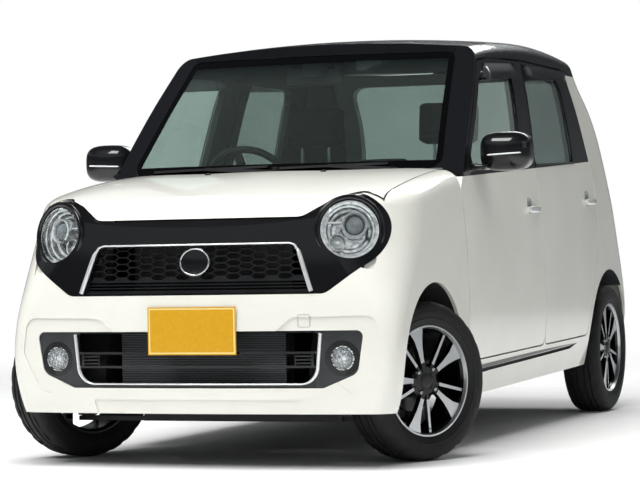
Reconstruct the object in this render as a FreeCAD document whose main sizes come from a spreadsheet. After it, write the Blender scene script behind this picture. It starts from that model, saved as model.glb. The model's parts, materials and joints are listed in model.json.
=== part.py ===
import FreeCAD, Part
import math
import os
import Sketcher
from functools import lru_cache
from FreeCAD import Placement, Rotation, Vector

# Small five-door city car. The front looks along -Y, +X is the car's left side, Z is up.
# The origin lies on the ground under the middle of the car. All lengths are millimetres.

os.makedirs("parts", exist_ok=True)
doc = FreeCAD.newDocument("kei_car")
sheet = doc.addObject("Spreadsheet::Sheet", "Sizes")

SIZES = (
    ("overall_length", 3395),
    ("overall_height", 1610),
    ("body_half_width", 736.5),
    ("wheelbase", 2520),
    ("front_overhang", 470),
    ("track", 1305),
    ("tyre_radius", 281),
    ("tyre_width", 165),
    ("rim_radius", 203),
    ("rim_width", 142),
    ("hub_radius", 62),
    ("spindle_radius", 17),
    ("disc_radius", 109),
    ("disc_thickness", 18),
    ("arch_radius", 345),
    ("kingpin_x", 640),
    ("rest_steer", 27),
    ("door_wall", 38),
    ("frame_wall", 60),
    ("seal_gap", 5),
    ("skin", 12),
    ("roof_wall", 32),
    ("tailgate_wall", 46),
    ("shut_gap", 6),
    ("fit", 0.3),
    ("glass_thickness", 4.5),
    ("glass_depth", 7),
    ("crest_radius", 70),
    ("roof_edge_radius", 60),
    ("bonnet_half", 640),
    ("bonnet_wall", 22),
    ("hinge_pin_radius", 2.7),
    ("hinge_pin_length", 52),
    ("hinge_strap", 2),
    ("plate_length", 330),
    ("plate_height", 165),
    ("plate_thickness", 2),
    ("plate_centre_z", 477),
    ("lamp_radius", 100),
    ("lamp_x", 548),
    ("lamp_z", 815),
    ("lamp_depth", 105),
    ("lens_thickness", 3),
    ("fog_radius", 42),
    ("fog_x", 535),
    ("fog_z", 380),
    ("floor_z", 236),
    ("floor_thickness", 12),
    ("wheel_rim_radius", 183),
    ("wheel_rim_section", 14),
    ("steering_tilt", 25),
    ("steering_ratio", 17),
    ("steering_x", 348),
    ("seat_x", 335),
    ("seat_width", 490),
)
for row, (alias, value) in enumerate(SIZES, start=1):
    sheet.set("A%d" % row, alias)
    sheet.set("B%d" % row, str(value))
    sheet.setAlias("B%d" % row, alias)
doc.recompute()


def size(alias):
    return float(sheet.get(alias))


FRONT = -size("overall_length") / 2
REAR = size("overall_length") / 2
NOSE = FRONT + size("plate_thickness") + size("fit")
FRONT_AXLE = FRONT + size("front_overhang")
REAR_AXLE = FRONT_AXLE + size("wheelbase")
HUB = size("tyre_radius")
FIT = size("fit")
GAP = size("shut_gap")
WIDE = 1500

# The hull is lofted through level sections. Each row: height, how far its side lies inside the widest
# section behind and beside the nose, how far its front lies behind the nose, the front corner's radius,
# how far its rear lies ahead of the rear bumper, and the rear corner's radius.
SECTIONS = (
    (190, 46, 30, 17, 72, 40, 60),
    (300, 21, 6, 5, 62, 12, 70),
    (450, 3, 0, 0, 68, 0, 75),
    (600, 0, 0, 9, 150, 12, 130),
    (750, 2, 2, 30, 250, 30, 200),
    (900, 11, 11, 62, 310, 45, 245),
    (1060, 32, 32, 110, 340, 65, 270),
    (1200, 54, None, None, None, 105, 270),
    (1350, 82, None, None, None, 215, 250),
    (1480, 111, None, None, None, 335, 240),
    (1640, 156, None, None, None, 490, 240),
)
SIDE_BOW, FRONT_BOW, REAR_BOW = 90000.0, 5000.0, 6000.0
# The nose's sides are flatter, and meet the cabin's at the front doors.
NOSE_SIDE_BOW, NOSE_MATCH_Y = 400000.0, -870.0
FIREWALL_Y = -1000
# Inner hulls run this far past the open ends of the outer one.
OVERRUN = 20
# Windscreen: height and place of its centre line. Roof: place and depth under the overall height.
WINDSCREEN = ((930, -1005), (1250, -690), (1680, -215))
WINDSCREEN_BOW = 2100.0
ROOF = ((-700, 113), (-250, 46), (550, 0), (1250, 38), (1800, 120))
ROOF_BOW = 5000.0
# Bonnet: how much lower its surface lies at each distance from the centre line.
BONNET_DROP = ((-780, 50), (-640, 18), (-420, 6), (0, 0), (420, 6), (640, 18), (780, 50))
BONNET_SIDE_VIEW = ((-1775, 600), (-1668, 810), (-1530, 945), (-1200, 1008), (-780, 1056))


def arc(a, m, b):
    return Part.Arc(a, m, b).toShape()


def line(a, b):
    return Part.LineSegment(a, b).toShape()


def mirror_x(p):
    return Vector(-p.x, p.y, p.z)


def mirrored(shape):
    return shape.mirror(Vector(0, 0, 0), Vector(1, 0, 0))


def both(shape):
    return Part.makeCompound([shape, mirrored(shape)])


def blend_centre(c1, r1, c2, r2, radius, way):
    """Centre of the corner circle that touches two large circles from inside."""
    a = r1 - radius
    b = r2 - radius
    d = c2.sub(c1)
    along = (a * a - b * b + d.Length ** 2) / (2 * d.Length)
    aside = math.sqrt(a * a - along * along)
    u = d * (1 / d.Length)
    side = Vector(-u.y, u.x, 0)
    return max((c1 + u * along + side * aside * k for k in (1, -1)), key=lambda p: p.y * way)


def outline(z, half, front, front_corner, rear, rear_corner, side_bow=SIDE_BOW):
    """Closed level section: bowed sides, bowed rear, and a bowed front or, with no corner, a flat one."""
    side_c = Vector(half - side_bow, 0, 0)
    rear_c = Vector(0, rear - REAR_BOW, 0)
    corner = blend_centre(side_c, side_bow, rear_c, REAR_BOW, rear_corner, 1)
    s2 = side_c + (corner - side_c).normalize() * side_bow
    r1 = rear_c + (corner - rear_c).normalize() * REAR_BOW
    rear_mid = corner + ((s2 - corner) + (r1 - corner)).normalize() * rear_corner
    if front_corner is None:
        s1 = Vector(side_c.x + math.sqrt(side_bow ** 2 - front ** 2), front, 0)
    else:
        front_c = Vector(0, front + FRONT_BOW, 0)
        ahead = blend_centre(side_c, side_bow, front_c, FRONT_BOW, front_corner, -1)
        s1 = side_c + (ahead - side_c).normalize() * side_bow
        f1 = front_c + (ahead - front_c).normalize() * FRONT_BOW
        front_mid = ahead + ((s1 - ahead) + (f1 - ahead)).normalize() * front_corner
    mid_y = (s1.y + s2.y) / 2
    side_mid = Vector(side_c.x + math.sqrt(side_bow ** 2 - mid_y ** 2), mid_y, 0)
    up = Vector(0, 0, z)
    edges = []
    if front_corner is None:
        edges.append(line(mirror_x(s1) + up, s1 + up))
    else:
        edges.append(arc(mirror_x(f1) + up, Vector(0, front, 0) + up, f1 + up))
        edges.append(arc(f1 + up, front_mid + up, s1 + up))
    edges.append(arc(s1 + up, side_mid + up, s2 + up))
    edges.append(arc(s2 + up, rear_mid + up, r1 + up))
    edges.append(arc(r1 + up, Vector(0, rear, 0) + up, mirror_x(r1) + up))
    edges.append(arc(mirror_x(r1) + up, mirror_x(rear_mid) + up, mirror_x(s2) + up))
    edges.append(arc(mirror_x(s2) + up, mirror_x(side_mid) + up, mirror_x(s1) + up))
    if front_corner is not None:
        edges.append(arc(mirror_x(s1) + up, mirror_x(front_mid) + up, mirror_x(f1) + up))
    return Part.Wire(edges)


def cabin_block(inset=0.0, rear_inset=None):
    rear_inset = inset if rear_inset is None else rear_inset
    wires = []
    ahead = OVERRUN if inset else 0
    for z, tuck, _, _, _, rear_back, rear_corner in SECTIONS:
        half = size("body_half_width") - tuck - inset
        if z == SECTIONS[0][0]:
            z -= ahead
        rear = REAR - rear_back - rear_inset
        wires.append(outline(z, half, FIREWALL_Y - ahead, None, rear, rear_corner - inset))
    return Part.makeLoft(wires, True, False)


def nose_block(inset=0.0):
    wires = []
    down = OVERRUN if inset else 0
    for z, _, tuck, front_back, front_corner, _, _ in SECTIONS:
        if tuck is None:
            continue
        half = size("body_half_width") - tuck - inset
        if z == SECTIONS[0][0]:
            z -= down
        half -= NOSE_MATCH_Y ** 2 / 2 * (1 / SIDE_BOW - 1 / NOSE_SIDE_BOW)
        wires.append(outline(z, half, NOSE + front_back + inset, front_corner - inset, 200, 200, NOSE_SIDE_BOW))
    return Part.makeLoft(wires, True, False)


def windscreen_void(back=0.0):
    """Everything ahead of the windscreen's surface, which may be moved back."""
    wires = []
    reach = math.sqrt(WINDSCREEN_BOW ** 2 - 1200 ** 2)
    for z, y in WINDSCREEN:
        y += back
        a = Vector(-1200, y + WINDSCREEN_BOW - reach, z)
        b = Vector(1200, y + WINDSCREEN_BOW - reach, z)
        c = Vector(1200, -2200, z)
        wires.append(Part.Wire([arc(a, Vector(0, y, z), b), line(b, c), line(c, mirror_x(c)), line(mirror_x(c), a)]))
    return Part.makeLoft(wires, True, False)


def roof_void(down=0.0):
    """Everything above the roof's surface, which may be lowered."""
    wires = []
    fall = ROOF_BOW - math.sqrt(ROOF_BOW ** 2 - 900 ** 2)
    for y, drop in ROOF:
        z = size("overall_height") - drop - down
        a = Vector(-900, y, z - fall)
        b = Vector(900, y, z - fall)
        c = Vector(900, y, 1900)
        wires.append(Part.Wire([arc(a, Vector(0, y, z), b), line(b, c), line(c, mirror_x(c)), line(mirror_x(c), a)]))
    return Part.makeLoft(wires, True, False)


def bonnet_block(inset=0.0):
    """Everything under the bonnet's surface, which may be lowered and set back."""
    wires = []
    for x, drop in BONNET_DROP:
        fall = (inset, drop * 0.4 + inset * 0.6, drop + inset, drop + inset, drop + inset)
        back = (inset, inset * 0.8, inset * 0.4, 0, 0)
        p = [Vector(x, y + b, z - f) for (y, z), f, b in zip(BONNET_SIDE_VIEW, fall, back)]
        low = [Vector(x, p[4].y, 100), Vector(x, p[0].y, 100)]
        edges = [arc(p[0], p[1], p[2]), arc(p[2], p[3], p[4])]
        edges += [line(p[4], low[0]), line(low[0], low[1]), line(low[1], p[0])]
        wires.append(Part.Wire(edges))
    return Part.makeLoft(wires, True, False)


def box(x0, x1, y0, y1, z0, z1):
    return Part.makeBox(x1 - x0, y1 - y0, z1 - z0, Vector(x0, y0, z0))


def rod(a, b, radius):
    return Part.makeCylinder(radius, (b - a).Length, a, b - a)


def rounded(corners, to_space):
    """Closed wire through corners (first, second, radius), each corner rounded by its radius."""
    starts, ends, edges = [], [], []
    count = len(corners)
    for i, (a, b, radius) in enumerate(corners):
        p = Vector(a, b, 0)
        back = Vector(corners[i - 1][0], corners[i - 1][1], 0) - p
        ahead = Vector(corners[(i + 1) % count][0], corners[(i + 1) % count][1], 0) - p
        back.normalize()
        ahead.normalize()
        half = back.getAngle(ahead) / 2
        trim = radius / math.tan(half)
        starts.append(p + back * trim)
        ends.append(p + ahead * trim)
        if radius:
            middle = (back + ahead).normalize()
            centre = p + middle * (radius / math.sin(half))
            top = centre - middle * radius
            edges.append(arc(to_space(starts[i]), to_space(top), to_space(ends[i])))
    for i in range(count):
        edges.append(line(to_space(ends[i]), to_space(starts[(i + 1) % count])))
    return Part.Wire(Part.__sortEdges__(edges))


def side_face(corners, grow=0.0):
    face = Part.Face(rounded(corners, lambda p: Vector(0, p.x, p.y)))
    return face.makeOffset2D(grow) if grow else face


def front_face(corners, grow=0.0):
    face = Part.Face(rounded(corners, lambda p: Vector(p.x, 0, p.y)))
    return face.makeOffset2D(grow) if grow else face


def side_prism(corners, grow=0.0, x0=300.0, x1=1000.0):
    """Side-view outline (y, z, corner radius) run across the left half of the car."""
    face = side_face(corners, grow)
    face.translate(Vector(x0, 0, 0))
    return face.extrude(Vector(x1 - x0, 0, 0))


def front_prism(corners, grow=0.0, y0=-1900.0, y1=-1300.0):
    """Front-view outline (x, z, corner radius) run along the car."""
    face = front_face(corners, grow)
    face.translate(Vector(0, y0, 0))
    return face.extrude(Vector(0, y1 - y0, 0))


def symmetric(corners):
    """Front-view outline given for the left half from top to bottom, closed by its mirror image."""
    return list(corners) + [(-a, b, r) for a, b, r in reversed(corners)]


# Side-view outlines on the left side, each at the middle of its shut gap: (y, z, corner radius).
FRONT_DOOR_FRONT = ((-858, 1006), (-812, 325))
DOOR_SPLIT = ((183, 1010), (219, 342))
FRONT_DOOR = (
    (-858, 1006, 12),
    (-792, 1010, 25),
    (-345, 1465, 60),
    (-210, 1484, 100),
    (290, 1500, 12),
    (183, 1010, 150),
    (219, 342, 45),
    (-812, 325, 35),
)
REAR_DOOR = (
    (290, 1500, 12),
    (985, 1497, 60),
    (1118, 1085, 110),
    (1120, 800, 300),
    (905, 352, 60),
    (219, 342, 35),
    (183, 1010, 150),
)
FRONT_WINDOW = (
    (-700, 1052, 25),
    (-345, 1412, 60),
    (-250, 1446, 60),
    (108, 1450, 30),
    (0, 1062, 25),
)
REAR_WINDOW = (
    (300, 1450, 30),
    (850, 1446, 50),
    (830, 1092, 35),
    (203, 1072, 25),
)
FENDER_END = FRONT_DOOR_FRONT
# Groove along the side skirt, pointed at its rear end.
SKIRT_GROOVE = ((-900, 284, 0), (600, 319, 60), (752, 326, 0), (640, 306, 60), (-900, 270, 0))
SKIRT_GROOVE_X = 706
STEP = 6
# How far the inner door opening lies inside the door's edge.
APERTURE = -34
SILL_BEVEL = ((-882, 189), (-882, 190), (948, 224), (948, 189))
# Front-view outlines: (x, z, corner radius).
MASK = symmetric((
    (385, 861, 60),
    (470, 915, 60),
    (560, 950, 80),
    (690, 905, 110),
    (672, 735, 130),
    (480, 597, 60),
))
UPPER_OPENING = symmetric(((372, 771, 45), (430, 606, 12)))
LOWER_OPENING = symmetric(((613, 475, 22), (590, 330, 40), (470, 279, 30)))
INTAKE = symmetric(((455, 468, 12), (440, 296, 60)))
# Stepped-in field round the lower opening's corners, and the one under the middle of the bumper.
RECESS = ((300, 470, 0), (360, 522, 50), (655, 526, 45), (672, 400, 60), (604, 262, 60), (560, 262, 0))
LIP_RECESS = symmetric(((392, 240, 12), (360, 150, 0)))
TAILGATE = symmetric(((520, 1532, 60), (575, 1150, 120), (560, 560, 60)))
TAILGATE_WINDOW = symmetric(((470, 1480, 60), (520, 1090, 60)))
TAIL_LAMP = ((588, 962, 45), (760, 962, 10), (760, 660, 10), (588, 660, 30))
WINDSCREEN_OPENING = symmetric(((548, 1503, 40), (628, 1040, 40)))
# The cowl between the side frames is this wide on each side.
COWL_HALF = 632
BUMPER_TOP = ((-1800, 796), (-1400, 536))
REAR_BUMPER_TOP = 556
REAR_BUMPER_FRONT = 1403
ROOF_PANEL_HALF = 545
ROOF_FRONT_Y = -700
ROOF_PANEL_LOW = 1450


def part_feature(label, shape, place=None):
    """Sub-part whose form is cut from the lofted hull."""
    feature = doc.addObject("Part::Feature", label)
    feature.Label = label
    feature.Shape = shape
    feature.Placement = place or Placement()
    return feature


def solids_only(shape, smallest=400.0):
    """Keeps real pieces of a boolean result and leaves out slivers under a volume."""
    kept = [s for s in shape.Solids if s.Volume > smallest]
    return kept[0] if len(kept) == 1 else Part.makeCompound(kept)


parts = {}


def add(label, shape):
    parts[label] = part_feature(label, solids_only(shape))


# Hulls shared by the panels.
@lru_cache(None)
def cabin_hull(side, roof, screen, rear=None):
    block = cabin_block(side, rear).cut(roof_void(roof))
    if side == 0:
        edges = []
        for edge in block.Edges:
            b = edge.BoundBox
            if b.ZMin > 1380 and b.YMax > -650 and b.YMax - b.YMin > 1 and not b.XMax - b.XMin > 1200:
                edges.append(edge)
            elif b.ZMin > 1380 and b.YMin > 900:
                edges.append(edge)
        block = block.makeFillet(size("roof_edge_radius"), edges)
    return block.cut(windscreen_void(screen))


@lru_cache(None)
def nose_hull(inset=0.0):
    block = nose_block(inset).common(bonnet_block(inset))
    rear_end = FIREWALL_Y + 200 + (OVERRUN if inset else 0)
    block = block.cut(box(-WIDE, WIDE, rear_end, WIDE * 2, 0, 2000))
    edges = []
    for edge in block.Edges:
        b = edge.BoundBox
        if b.ZMin > 880 and b.YMin < -860 and b.XMin * b.XMax > 0 and min(abs(b.XMin), abs(b.XMax)) > 560:
            edges.append(edge)
    return block.makeFillet(size("crest_radius") - inset, edges)


WALL = size("frame_wall")
DOOR = size("door_wall")
SKIN = size("skin")
outer = cabin_hull(0, 0, 0)
door_back = cabin_hull(DOOR, size("roof_wall"), 0)
frame_face = cabin_hull(DOOR + size("seal_gap"), size("roof_wall"), 25)
inner = cabin_hull(WALL, size("roof_wall"), 34, size("tailgate_wall"))
fender_back = cabin_hull(SKIN + FIT, size("roof_wall"), 25)
nose = nose_hull()
nose_skin = nose.cut(nose_hull(SKIN))


def tube_along_x(radius, x0, x1, y, z):
    return Part.makeCylinder(radius, x1 - x0, Vector(x0, y, z), Vector(1, 0, 0))


def arch(y, radius, x0=300.0, x1=1000.0):
    """Wheel arch: a half round over the hub, open to the ground."""
    shape = tube_along_x(radius, x0, x1, y, HUB)
    return shape.fuse(box(x0, x1, y - radius, y + radius, 0, HUB))


def half_space(points, x0=-WIDE, x1=WIDE):
    """Side-view polygon run across the car."""
    wire = Part.makePolygon([Vector(x0, y, z) for y, z in points] + [Vector(x0, *points[0])])
    return Part.Face(wire).extrude(Vector(x1 - x0, 0, 0))


front_arch = arch(FRONT_AXLE, size("arch_radius"))
rear_arch = arch(REAR_AXLE, size("arch_radius"))
below_sill = half_space(((-2000, 0), (2000, 0), (2000, 243), (-882, 190), (-2000, 190)))

# Side frames: hinge pillar, sill, roof rail, pillars and rear quarter in one, behind and around the doors.
side_shell = outer.cut(inner).common(box(300, 1000, FIREWALL_Y, REAR + 10, 0, 1700))
doors_zone = side_prism(FRONT_DOOR, GAP / 2).fuse(side_prism(REAR_DOOR, GAP / 2)).cut(frame_face)
apertures = side_prism(FRONT_DOOR, APERTURE).fuse(side_prism(REAR_DOOR, APERTURE))
fender_zone = half_space(((-1100, 100), (FENDER_END[1][0], 100), FENDER_END[1], FENDER_END[0],
                          (FENDER_END[0][0], 1080), (-1100, 1080)))
fender_zone = fender_zone.cut(fender_back)
wheel_room = half_space(((-1100, 100), (-872, 100), (-872, 340), (-895, 800), (-895, 1200), (-1100, 1200)))
roof_zone = box(-ROOF_PANEL_HALF - 1, ROOF_PANEL_HALF + 1, ROOF_FRONT_Y - 1, REAR, ROOF_PANEL_LOW, 1700)
tailgate_zone = front_prism(TAILGATE, GAP / 2, 1150, 1900)
rear_bumper_zone = box(0, WIDE, REAR_BUMPER_FRONT - FIT, 1900, 0, REAR_BUMPER_TOP - GAP / 2 + FIT)
tail_lamp_zone = front_prism(TAIL_LAMP, FIT, 1500, 1900)
windscreen_zone = front_prism(WINDSCREEN_OPENING, 0, -1300, -200)
cowl_zone = box(0, COWL_HALF, -1100, -600, 700, WINDSCREEN_OPENING[1][1])

frame = side_shell.cut([doors_zone, apertures, fender_zone, wheel_room, roof_zone, tailgate_zone,
                        rear_bumper_zone, tail_lamp_zone, windscreen_zone, cowl_zone, rear_arch, below_sill,
                        side_prism(SKIRT_GROOVE, 0, SKIRT_GROOVE_X)])
wheelhouse = tube_along_x(size("arch_radius") + SKIN, 540, 720, REAR_AXLE, HUB)
wheelhouse = wheelhouse.cut(tube_along_x(size("arch_radius"), 540 + SKIN, 730, REAR_AXLE, HUB))
wheelhouse = wheelhouse.cut(box(500, 800, 900, 1700, 0, HUB + 30)).common(inner)


def gap_point(ends, z, x):
    (y0, z0), (y1, z1) = ends
    return Vector(x, y0 + (y1 - y0) * (z - z0) / (z1 - z0), z)


def door_pins(ends, heights, x, root_x):
    """Two hinge pins in a door's front gap, each on a thin strap from the pillar behind the gap."""
    shapes = []
    half = size("hinge_pin_length") / 2
    for z in heights:
        a = gap_point(ends, z - half, x)
        b = gap_point(ends, z + half, x)
        pin = rod(a, b, size("hinge_pin_radius"))
        t = size("hinge_strap") / 2
        wire = Part.makePolygon([a + Vector(0, -t, 0), a + Vector(0, t, 0), b + Vector(0, t, 0),
                                 b + Vector(0, -t, 0), a + Vector(0, -t, 0)])
        strap = Part.Face(wire).extrude(Vector(root_x - x, 0, 0))
        shapes.append(pin.fuse(strap))
    return shapes


FRONT_HINGE_X, REAR_HINGE_X = 729.4, 733.2
HINGE_HEIGHTS = (470, 620)
HINGE_ROOT_X = 672
pins = door_pins(FRONT_DOOR_FRONT, HINGE_HEIGHTS, FRONT_HINGE_X, HINGE_ROOT_X)
pins += door_pins(DOOR_SPLIT, HINGE_HEIGHTS, REAR_HINGE_X, HINGE_ROOT_X)
frame = frame.fuse(pins + [wheelhouse])
add("side_frame_left", frame)
add("side_frame_right", mirrored(frame))

# Roof panel, from the windscreen header to the tailgate's hinge line.
roof_box = box(-ROOF_PANEL_HALF, ROOF_PANEL_HALF, ROOF_FRONT_Y, REAR, ROOF_PANEL_LOW, 1700)
roof = outer.cut(inner).common(roof_box).cut([tailgate_zone, windscreen_zone])
TAILGATE_HINGE = (1342, 1532)


def cross_pins(y, z, x0, x1, root_y):
    """Two hinge pins across the car at one height, each on a thin strap that runs back or ahead to root_y."""
    shapes = []
    t = size("hinge_strap") / 2
    for a, b in ((x0, x1), (-x1, -x0)):
        pin = tube_along_x(size("hinge_pin_radius"), a, b, y, z)
        shapes.append(pin.fuse(box(a, b, min(y, root_y), max(y, root_y), z - t, z + t)))
    return shapes


tail_pins = cross_pins(TAILGATE_HINGE[0], TAILGATE_HINGE[1], 30, 90, TAILGATE_HINGE[0] - 12)
tail_straps = [box(k * 60 - 30, k * 60 + 30, TAILGATE_HINGE[0] - 12, TAILGATE_HINGE[0] - 9, 1531, 1540) for k in (1, -1)]
add("roof_panel", roof.fuse(tail_pins + tail_straps))

# Doors and their glass.
HANDLE_LENGTH, HANDLE_DISH = 128, 34
for name, door_line, window_line, skin_x, handle_y, handle_z in (
    ("front", FRONT_DOOR, FRONT_WINDOW, 727, 8, 888),
    ("rear", REAR_DOOR, REAR_WINDOW, 717, 945, 926),
):
    panel = side_prism(door_line, -GAP / 2).common(outer).cut(door_back)
    panel = panel.cut(side_prism(window_line)).cut(rear_arch)
    panel = panel.cut(tube_along_x(HANDLE_DISH, skin_x - 9, 800, handle_y + 18, handle_z + 16))
    posts = [box(skin_x - 14, skin_x + 14, y, y + 16, handle_z - 9, handle_z + 9)
             for y in (handle_y - 16, handle_y + HANDLE_LENGTH - 32)]
    bar = box(skin_x + 4, skin_x + 17, handle_y - 16, handle_y + HANDLE_LENGTH - 16, handle_z - 10, handle_z + 10)
    bar = bar.makeFillet(5, [e for e in bar.Edges if e.BoundBox.XMin > skin_x + 16])
    panel = panel.fuse([bar] + posts)
    glass = side_prism(window_line, -FIT).common(cabin_hull(size("glass_depth"), 0, 0))
    glass = glass.cut(cabin_hull(size("glass_depth") + size("glass_thickness"), 0, 0))
    add(name + "_door_left", panel)
    add(name + "_door_right", mirrored(panel))
    add(name + "_door_glass_left", glass)
    add(name + "_door_glass_right", mirrored(glass))

# Windscreen.
screen = front_prism(WINDSCREEN_OPENING, -FIT, -1300, -200).common(windscreen_void(9)).cut(windscreen_void(3))
add("windscreen", screen)

# Wipers: bowed blades on the glass, arms down to pivots on the cowl.
WIPERS = (
    ((-520, 1058, 0), (-30, 1066, 0), (-30, 1057, 0), (-520, 1049, 0)),
    ((20, 1058, 0), (430, 1066, 0), (430, 1057, 0), (20, 1049, 0)),
)
WIPER_ARMS = (
    ((-290, 1064, 0), (20, 1046, 0), (20, 1030, 0), (-290, 1052, 0)),
    ((210, 1064, 0), (470, 1046, 0), (470, 1030, 0), (210, 1052, 0)),
)
# Pivots: place and height of the top, low enough to pass under the open bonnet's edge.
WIPER_PIVOT_RADIUS = 13
WIPER_PIVOTS = ((14, -918, 1058), (462, -868, 1043))
blade_room = windscreen_void(3 - FIT).cut(windscreen_void(-10))
arm_room = windscreen_void(-4).cut(windscreen_void(-13))
wipers = []
for blade, arm, (x, y, top) in zip(WIPERS, WIPER_ARMS, WIPER_PIVOTS):
    wiper = blade_room.common(front_prism(blade, 0, -1300, -200))
    wiper = wiper.fuse(arm_room.common(front_prism(arm, 0, -1300, -200)))
    pivot = Part.makeCylinder(WIPER_PIVOT_RADIUS, top - 1000, Vector(x, y, 1000))
    wipers.append(wiper.fuse(pivot).cut(nose_hull(STEP - FIT)))
parts["wipers"] = part_feature("wipers", Part.makeCompound(wipers))

# Rear-view mirror under the housing of the camera, both inside the windscreen.
housing = front_prism(symmetric(((52, 1482, 12), (40, 1418, 20))), 0, -1300, -200)
housing = housing.common(windscreen_void(52)).cut(windscreen_void(9 + FIT))
rear_mirror = box(-118, 118, -452, -420, 1382, 1446)
rear_mirror = rear_mirror.makeFillet(11, rear_mirror.Edges)
add("rear_view_mirror", housing.fuse(rear_mirror))

# Tailgate and its window.
gate = front_prism(TAILGATE, -GAP / 2, 1150, 1900).common(outer).cut(inner)
gate = gate.cut(front_prism(TAILGATE_WINDOW, 0, 1000, 1900)).cut(box(-WIDE, WIDE, 0, 2000, 0, 560))
add("tailgate", gate)
gate_glass = front_prism(TAILGATE_WINDOW, -FIT, 1000, 1900).common(cabin_block(6)).cut(cabin_block(11))
gate_glass = gate_glass.common(box(-WIDE, WIDE, 1150, 1900, 900, 1600))
add("tailgate_glass", gate_glass)

# Nose panels: bonnet, fenders, bumper and the dark mask between the lamps.
bonnet_half = size("bonnet_half")
COWL_FRONT = -945
BONNET_HINGE = (-862, 1028)
mask_zone_grown = front_prism(MASK, GAP / 2, -1900, -1380)
mask_seat = front_prism(MASK, -GAP / 2 + FIT, -1900, -1380)
cowl_front = Part.makeCylinder(WINDSCREEN_BOW, 600, Vector(0, COWL_FRONT + WINDSCREEN_BOW, 700), Vector(0, 0, 1))
bonnet_shell = nose.cut(nose_hull(size("bonnet_wall"))).common(box(-bonnet_half + GAP / 2, bonnet_half - GAP / 2, -1900, BONNET_HINGE[0] - GAP / 2, 780, 1200))
bonnet = bonnet_shell.cut(mask_zone_grown).cut(cowl_front)
bonnet = max(bonnet.Solids, key=lambda s: s.Volume)
add("bonnet", bonnet)

bumper_zone = half_space(((-1900, 0), (-1900, 861), (BUMPER_TOP[0][0], BUMPER_TOP[0][1]), BUMPER_TOP[1], (-1400, 0)))
bumper = nose_skin.common(bumper_zone).cut([mask_seat, front_arch, mirrored(front_arch)])
bumper = bumper.cut(box(-460, 460, -1900, -1300, 640, 1000)).cut(front_prism(LOWER_OPENING))
step = nose.cut(nose_hull(STEP))
bumper = bumper.cut([step.common(both(front_prism(RECESS))), step.common(front_prism(LIP_RECESS))])
bumper = max(bumper.Solids, key=lambda s: s.Volume)
add("front_bumper", bumper)

mask = nose_skin.common(front_prism(MASK, -GAP / 2, -1900, -1380)).cut(front_prism(UPPER_OPENING))
lamp_axis = Vector(math.sin(math.radians(22)), -math.cos(math.radians(22)), 0.10).normalize()
lamp_seat = Vector(size("lamp_x"), -1592, size("lamp_z"))
# Raised ring round each lamp.
LAMP_RING = 9
lamp_hole = rod(lamp_seat - lamp_axis * 150, lamp_seat + lamp_axis * 200, size("lamp_radius") + FIT)
mask = mask.cut(both(lamp_hole))
ring = Part.makeTorus(size("lamp_radius") + LAMP_RING + 3, LAMP_RING, lamp_seat, lamp_axis)
add("front_mask", mask.fuse([ring, mirrored(ring)]))

(high_y, high_z), (low_y, low_z) = FENDER_END
fender = nose_skin.common(box(0, 1000, -1900, -800, 0, 1200))
fender = fender.cut(half_space(((-1900, -10), (-1900, 861 + FIT), (-1800, 796 + FIT), (-1400, 536 + FIT), (-1400, -10))))
fender = fender.cut([mask_seat, front_arch])
fender = fender.cut(box(-10, bonnet_half + GAP / 2, -1900, -700, 600, 1300))
fender = fender.cut(half_space(((low_y - GAP / 2, 0), (low_y - GAP / 2, low_z), (high_y - GAP / 2, high_z), (high_y - GAP / 2, 1200),
                                (-400, 1200), (-400, 0))))
fender = max(fender.Solids, key=lambda s: s.Volume)
parts["front_fenders"] = part_feature("front_fenders", both(fender))

# Rear bumper and tail lamps.
lower_rear = outer.cut(cabin_hull(SKIN, 32, 25)).common(box(-WIDE, WIDE, 1292, 1900, 0, REAR_BUMPER_TOP - GAP / 2))
rear_bumper = lower_rear.cut([rear_arch, mirrored(rear_arch), below_sill])
rear_bumper = rear_bumper.cut(box(-WIDE, WIDE, 1200, REAR_BUMPER_FRONT, 0, 900))
add("rear_bumper", rear_bumper)
lamp = front_prism(TAIL_LAMP, 0, 1500, 1900).common(outer).cut(inner)
parts["tail_lamps"] = part_feature("tail_lamps", both(max(lamp.Solids, key=lambda q: q.Volume)))


# Grilles, set behind their openings, and the lamps.
def hexagon(x, z, half_width, half_flat, half_height):
    """Front-view face of a six-sided hole with flat top and bottom."""
    points = [(-half_width, 0), (-half_flat, half_height), (half_flat, half_height),
              (half_width, 0), (half_flat, -half_height), (-half_flat, -half_height)]
    return Part.Face(Part.makePolygon([Vector(x + a, 0, z + b) for a, b in points + points[:1]]))


def bowed_plate(y, z, lean, thick):
    """Plate bowed like the nose, leaning back from the upright by an angle about its height z."""
    high = 600
    base = Vector(0, y + FRONT_BOW, z)
    drum = Part.makeCylinder(FRONT_BOW, high, base - Vector(0, 0, high / 2))
    drum = drum.cut(Part.makeCylinder(FRONT_BOW - thick, high, base - Vector(0, 0, high / 2)))
    drum = drum.common(box(-800, 800, y - 50, y + 400, z - high, z + high))
    drum.rotate(Vector(0, y, z), Vector(1, 0, 0), -lean)
    return drum


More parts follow.
